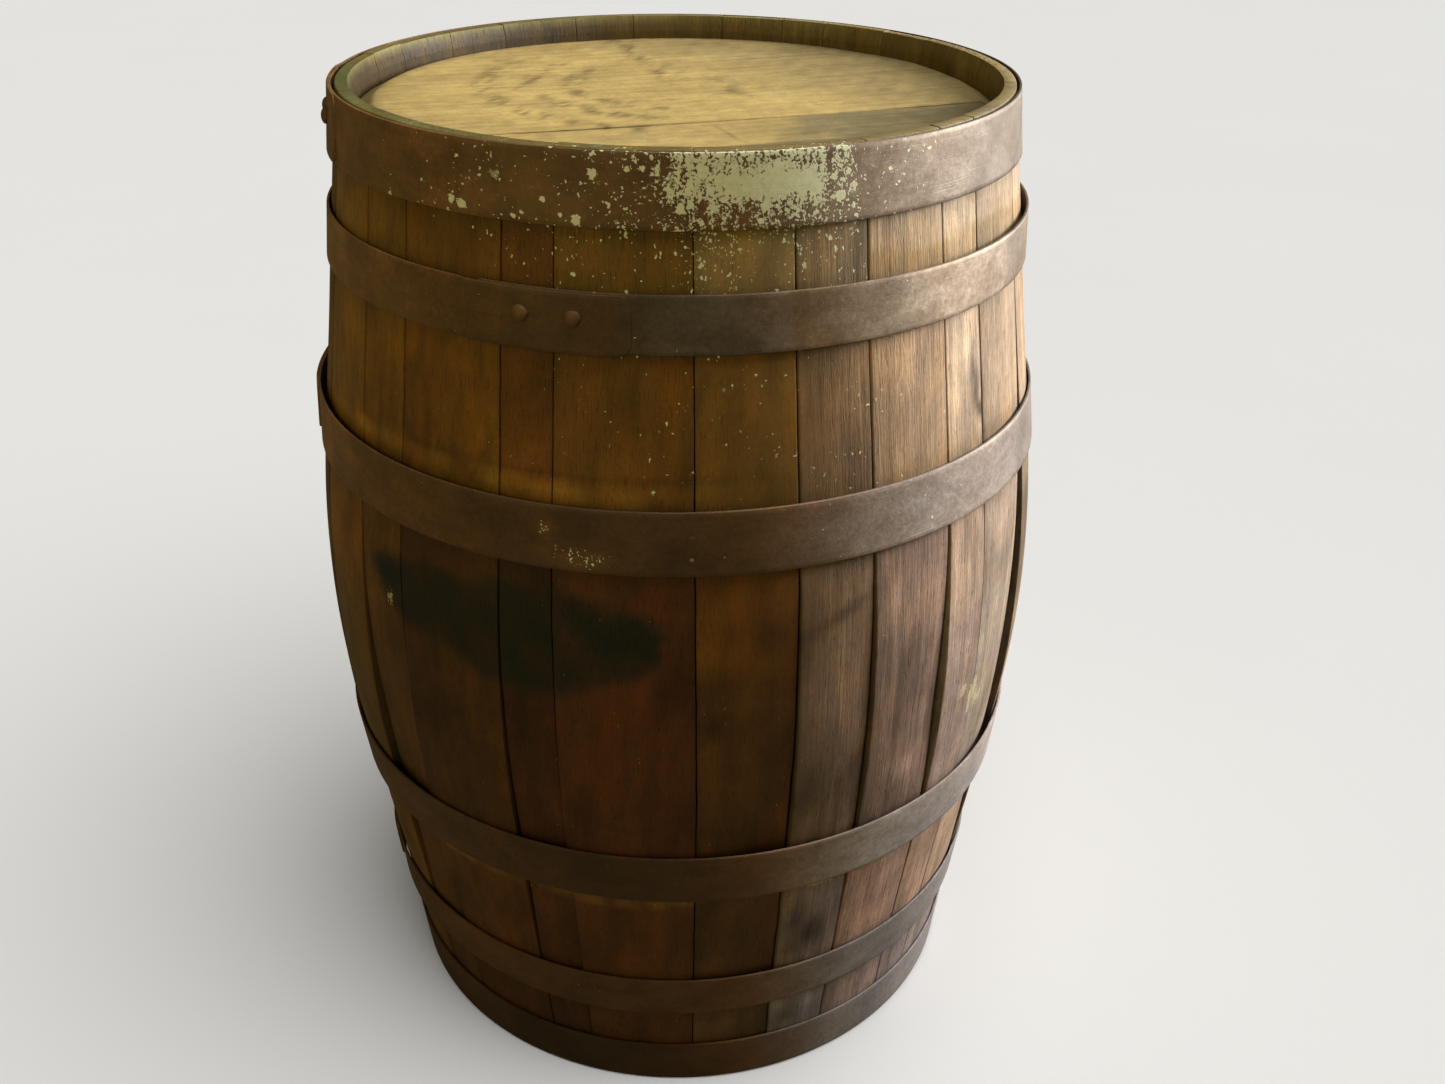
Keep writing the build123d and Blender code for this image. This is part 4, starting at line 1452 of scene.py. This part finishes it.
# Tone of a head board: honey oak with blotches, greyer to the right, dark in the joints, and darker to the
# right and towards the rim by painted shade of the chime.
def boardTone(name, rng, u, v, joint, isTop):
    x, y = u * 1000, v * 1000
    r = np.hypot(x, y)
    base = np.array(heads["honey"]) * rng.uniform(0.94, 1.06)
    level = 1 + 0.06 * wander(61, 0.16, u, v) + 0.07 * wander(62, 0.05, u * 0.5, v)
    level = level + 0.07 * wander(63, 0.02, u, v)
    # Painted shade of the chime: darker to the right, lighter to the left.
    level = level - 0.10 * smooth(60, 240, x)
    level = level + 0.16 * smooth(-40, -200, x) + 0.10 * wander(64, 0.012, u * 0.08, v)
    if name in ("top_head_board_1", "top_head_board_2"):
        level = level - (0.14 * smooth(-40, 50, x) + 0.12 * smooth(60, 110, x)) * (1 - smooth(-130, -90, y))
    grey = boardGrey(name, x, y, u, v)[..., None]
    tone = base * level[..., None]
    tone = tone * (1 - grey) + grey * np.array(heads["grey"]) * level[..., None]
    # Dark joints, and painted shade darkening towards the rim, deepest where the head meets the chime.
    dark = 0.20 * np.exp(-joint / 0.0012) + 0.35 * smooth(236, 256, r) + 0.12 * smooth(150, 240, r)
    if isTop:
        dark = dark + headMarks(x, y, u, v)
    return tone * (1 - np.clip(dark, 0, 0.85))[..., None]


# One board: rows across it, each row a chord of the head's circle; both faces bevelled towards the rim.
def makeBoard(name, turnDegrees, outwardUp):
    seed = sum(ord(c) for c in name)
    rng = np.random.default_rng(seed)
    turn = math.radians(turnDegrees)
    points = pointsOf(name)
    across = points[:, 1] * math.cos(turn) - points[:, 0] * math.sin(turn)
    low, high = across.min(), across.max()
    rim = radiusOf(points).max()
    limit = rim * heads["limit"]
    lowCant, highCant = low < -limit, high > limit
    low, high = max(low, -limit), min(high, limit)
    edge = np.array([0, 0.0004, 0.001, 0.002])
    middle = np.linspace(0.0035, high - low - 0.0035, int((high - low) / heads["pitch"]))
    v = (low + np.unique(np.concatenate([edge, middle, high - low - edge])))[None, :]
    even = np.linspace(-1, 1, heads["columns"])[:, None]
    share = np.sin(even * np.pi / 2) * 0.55 + even * 0.45
    u = share * np.sqrt(rim**2 - v**2)
    r = np.hypot(u, v)
    bevel = heads["bevel"] * np.clip((r - heads["flatRadius"]) / (endBore - heads["flatRadius"]), 0, 1)
    joint = np.full_like(v, 1.0)
    if not lowCant:
        joint = np.minimum(joint, v - low)
    if not highCant:
        joint = np.minimum(joint, high - v)
    worn = heads["edgeRound"] * (1 + 0.5 * wander(seed, 0.09, u, v * 0))
    drop = roundedDrop(joint + 0 * u, worn)
    cup = rng.uniform(-0.0004, 0.0006) * ((v - (low + high) / 2) / ((high - low) / 2)) ** 2
    drop = drop + heads["sag"] * (1 - np.clip(r / endBore, 0, 1) ** 2) + np.abs(cup)
    drop = drop + 0.00015 * (1 + wander(seed + 3, 0.10, u * 0.4, v)) + rng.uniform(0.0, 0.0005)
    faceZ, backZ = points[:, 2].max(), points[:, 2].min()
    faceDrop, backDrop = (drop, 0) if outwardUp else (0, drop)
    top = faceZ - bevel - faceDrop * (1 - bevel / heads["bevel"])
    bottom = backZ + bevel + backDrop * (1 - bevel / heads["bevel"])
    x = u * math.cos(turn) - v * math.sin(turn)
    y = u * math.sin(turn) + v * math.cos(turn)
    faceGrid, backGrid = (np.stack([x, y, level + 0 * x], -1).reshape(-1, 3) for level in (top, bottom))
    grid = np.concatenate([faceGrid, backGrid])
    grainPlace = rng.uniform(0, 9, 2)
    uvOne = np.column_stack([(v + 0 * u).ravel() + grainPlace[0], u.ravel() + grainPlace[1]])
    tone = boardTone(name, rng, u, v + 0 * u, joint + 0 * u, outwardUp).reshape(-1, 3)
    colours = {"tone": np.clip(np.concatenate([tone, tone]), 0.002, 1)}
    makePiece(name + "_plank", grid, shellFaces(share.shape[0], v.shape[1]), headFinish, "barrel", [name],
              np.concatenate([uvOne, uvOne]), colours)


# Both heads, each at its own turn, with its worn face outwards.
def makeHeads():
    for name in sorted(nodes):
        if name.startswith("top_head_board"):
            makeBoard(name, heads["topTurn"], True)
        if name.startswith("bottom_head_board"):
            makeBoard(name, heads["bottomTurn"], False)
    print("heads made")


bung = dict(
    chamfer=0.0015,
    around=64,
    hollow=((0.85, 0.0002), (0.6, 0.0006), (0.3, 0.0009), (0.0, 0.001)),    # share of the radius and depth
)


# Plug turned about +Y: tapered side between two chamfered faces, the outer one a little hollow from the
# mallet.
def makeBung():
    points = pointsOf("bung")
    inY, outY = points[:, 1].min(), points[:, 1].max()
    z = (points[:, 2].min() + points[:, 2].max()) / 2
    reach = np.hypot(points[:, 0], points[:, 2] - z)
    big, small = reach.max(), reach[points[:, 1] < inY + 0.004].max()
    c = bung["chamfer"]
    innerFace = [(small * 0.5, inY), (small - c, inY), (small - c * 0.4, inY + c * 0.4), (small, inY + c)]
    side = [((small + big) / 2, (inY + outY) / 2)]
    outerEdge = [(big, outY - c), (big - c * 0.4, outY - c * 0.3), (big - c, outY)]
    hollow = [(big * share, outY - depth) for share, depth in bung["hollow"]]
    profile = np.array(innerFace + side + outerEdge + hollow[:-1])
    around = np.linspace(0, 2 * np.pi, bung["around"], endpoint=False)
    uneven = 1 - 0.004 * (1 + wander(3, 2.0, around))
    radius = profile[:, :1] * uneven
    rings = np.stack([radius * np.cos(around), profile[:, 1:] + 0 * radius, z + radius * np.sin(around)], -1)
    poles = np.array([(0, inY, z), (*hollow[-1], z)])
    grid = np.concatenate([rings.reshape(-1, 3), poles])
    faces = turnedFaces(len(profile), around.size)
    makePiece("bung_plug", grid, faces, bungFinish, "bung", ["bung"])
    print("bung made")


makeCamera()
makeStudio(floorFinish())
makeStaves()
makeHoops()
makeHeads()
makeBung()
for dowelNode in ("top_head_dowels", "bottom_head_dowels"):
    nodes[dowelNode].data.materials.clear()
    nodes[dowelNode].data.materials.append(bungFinish)

bpy.context.scene.view_settings.view_transform = "Standard"
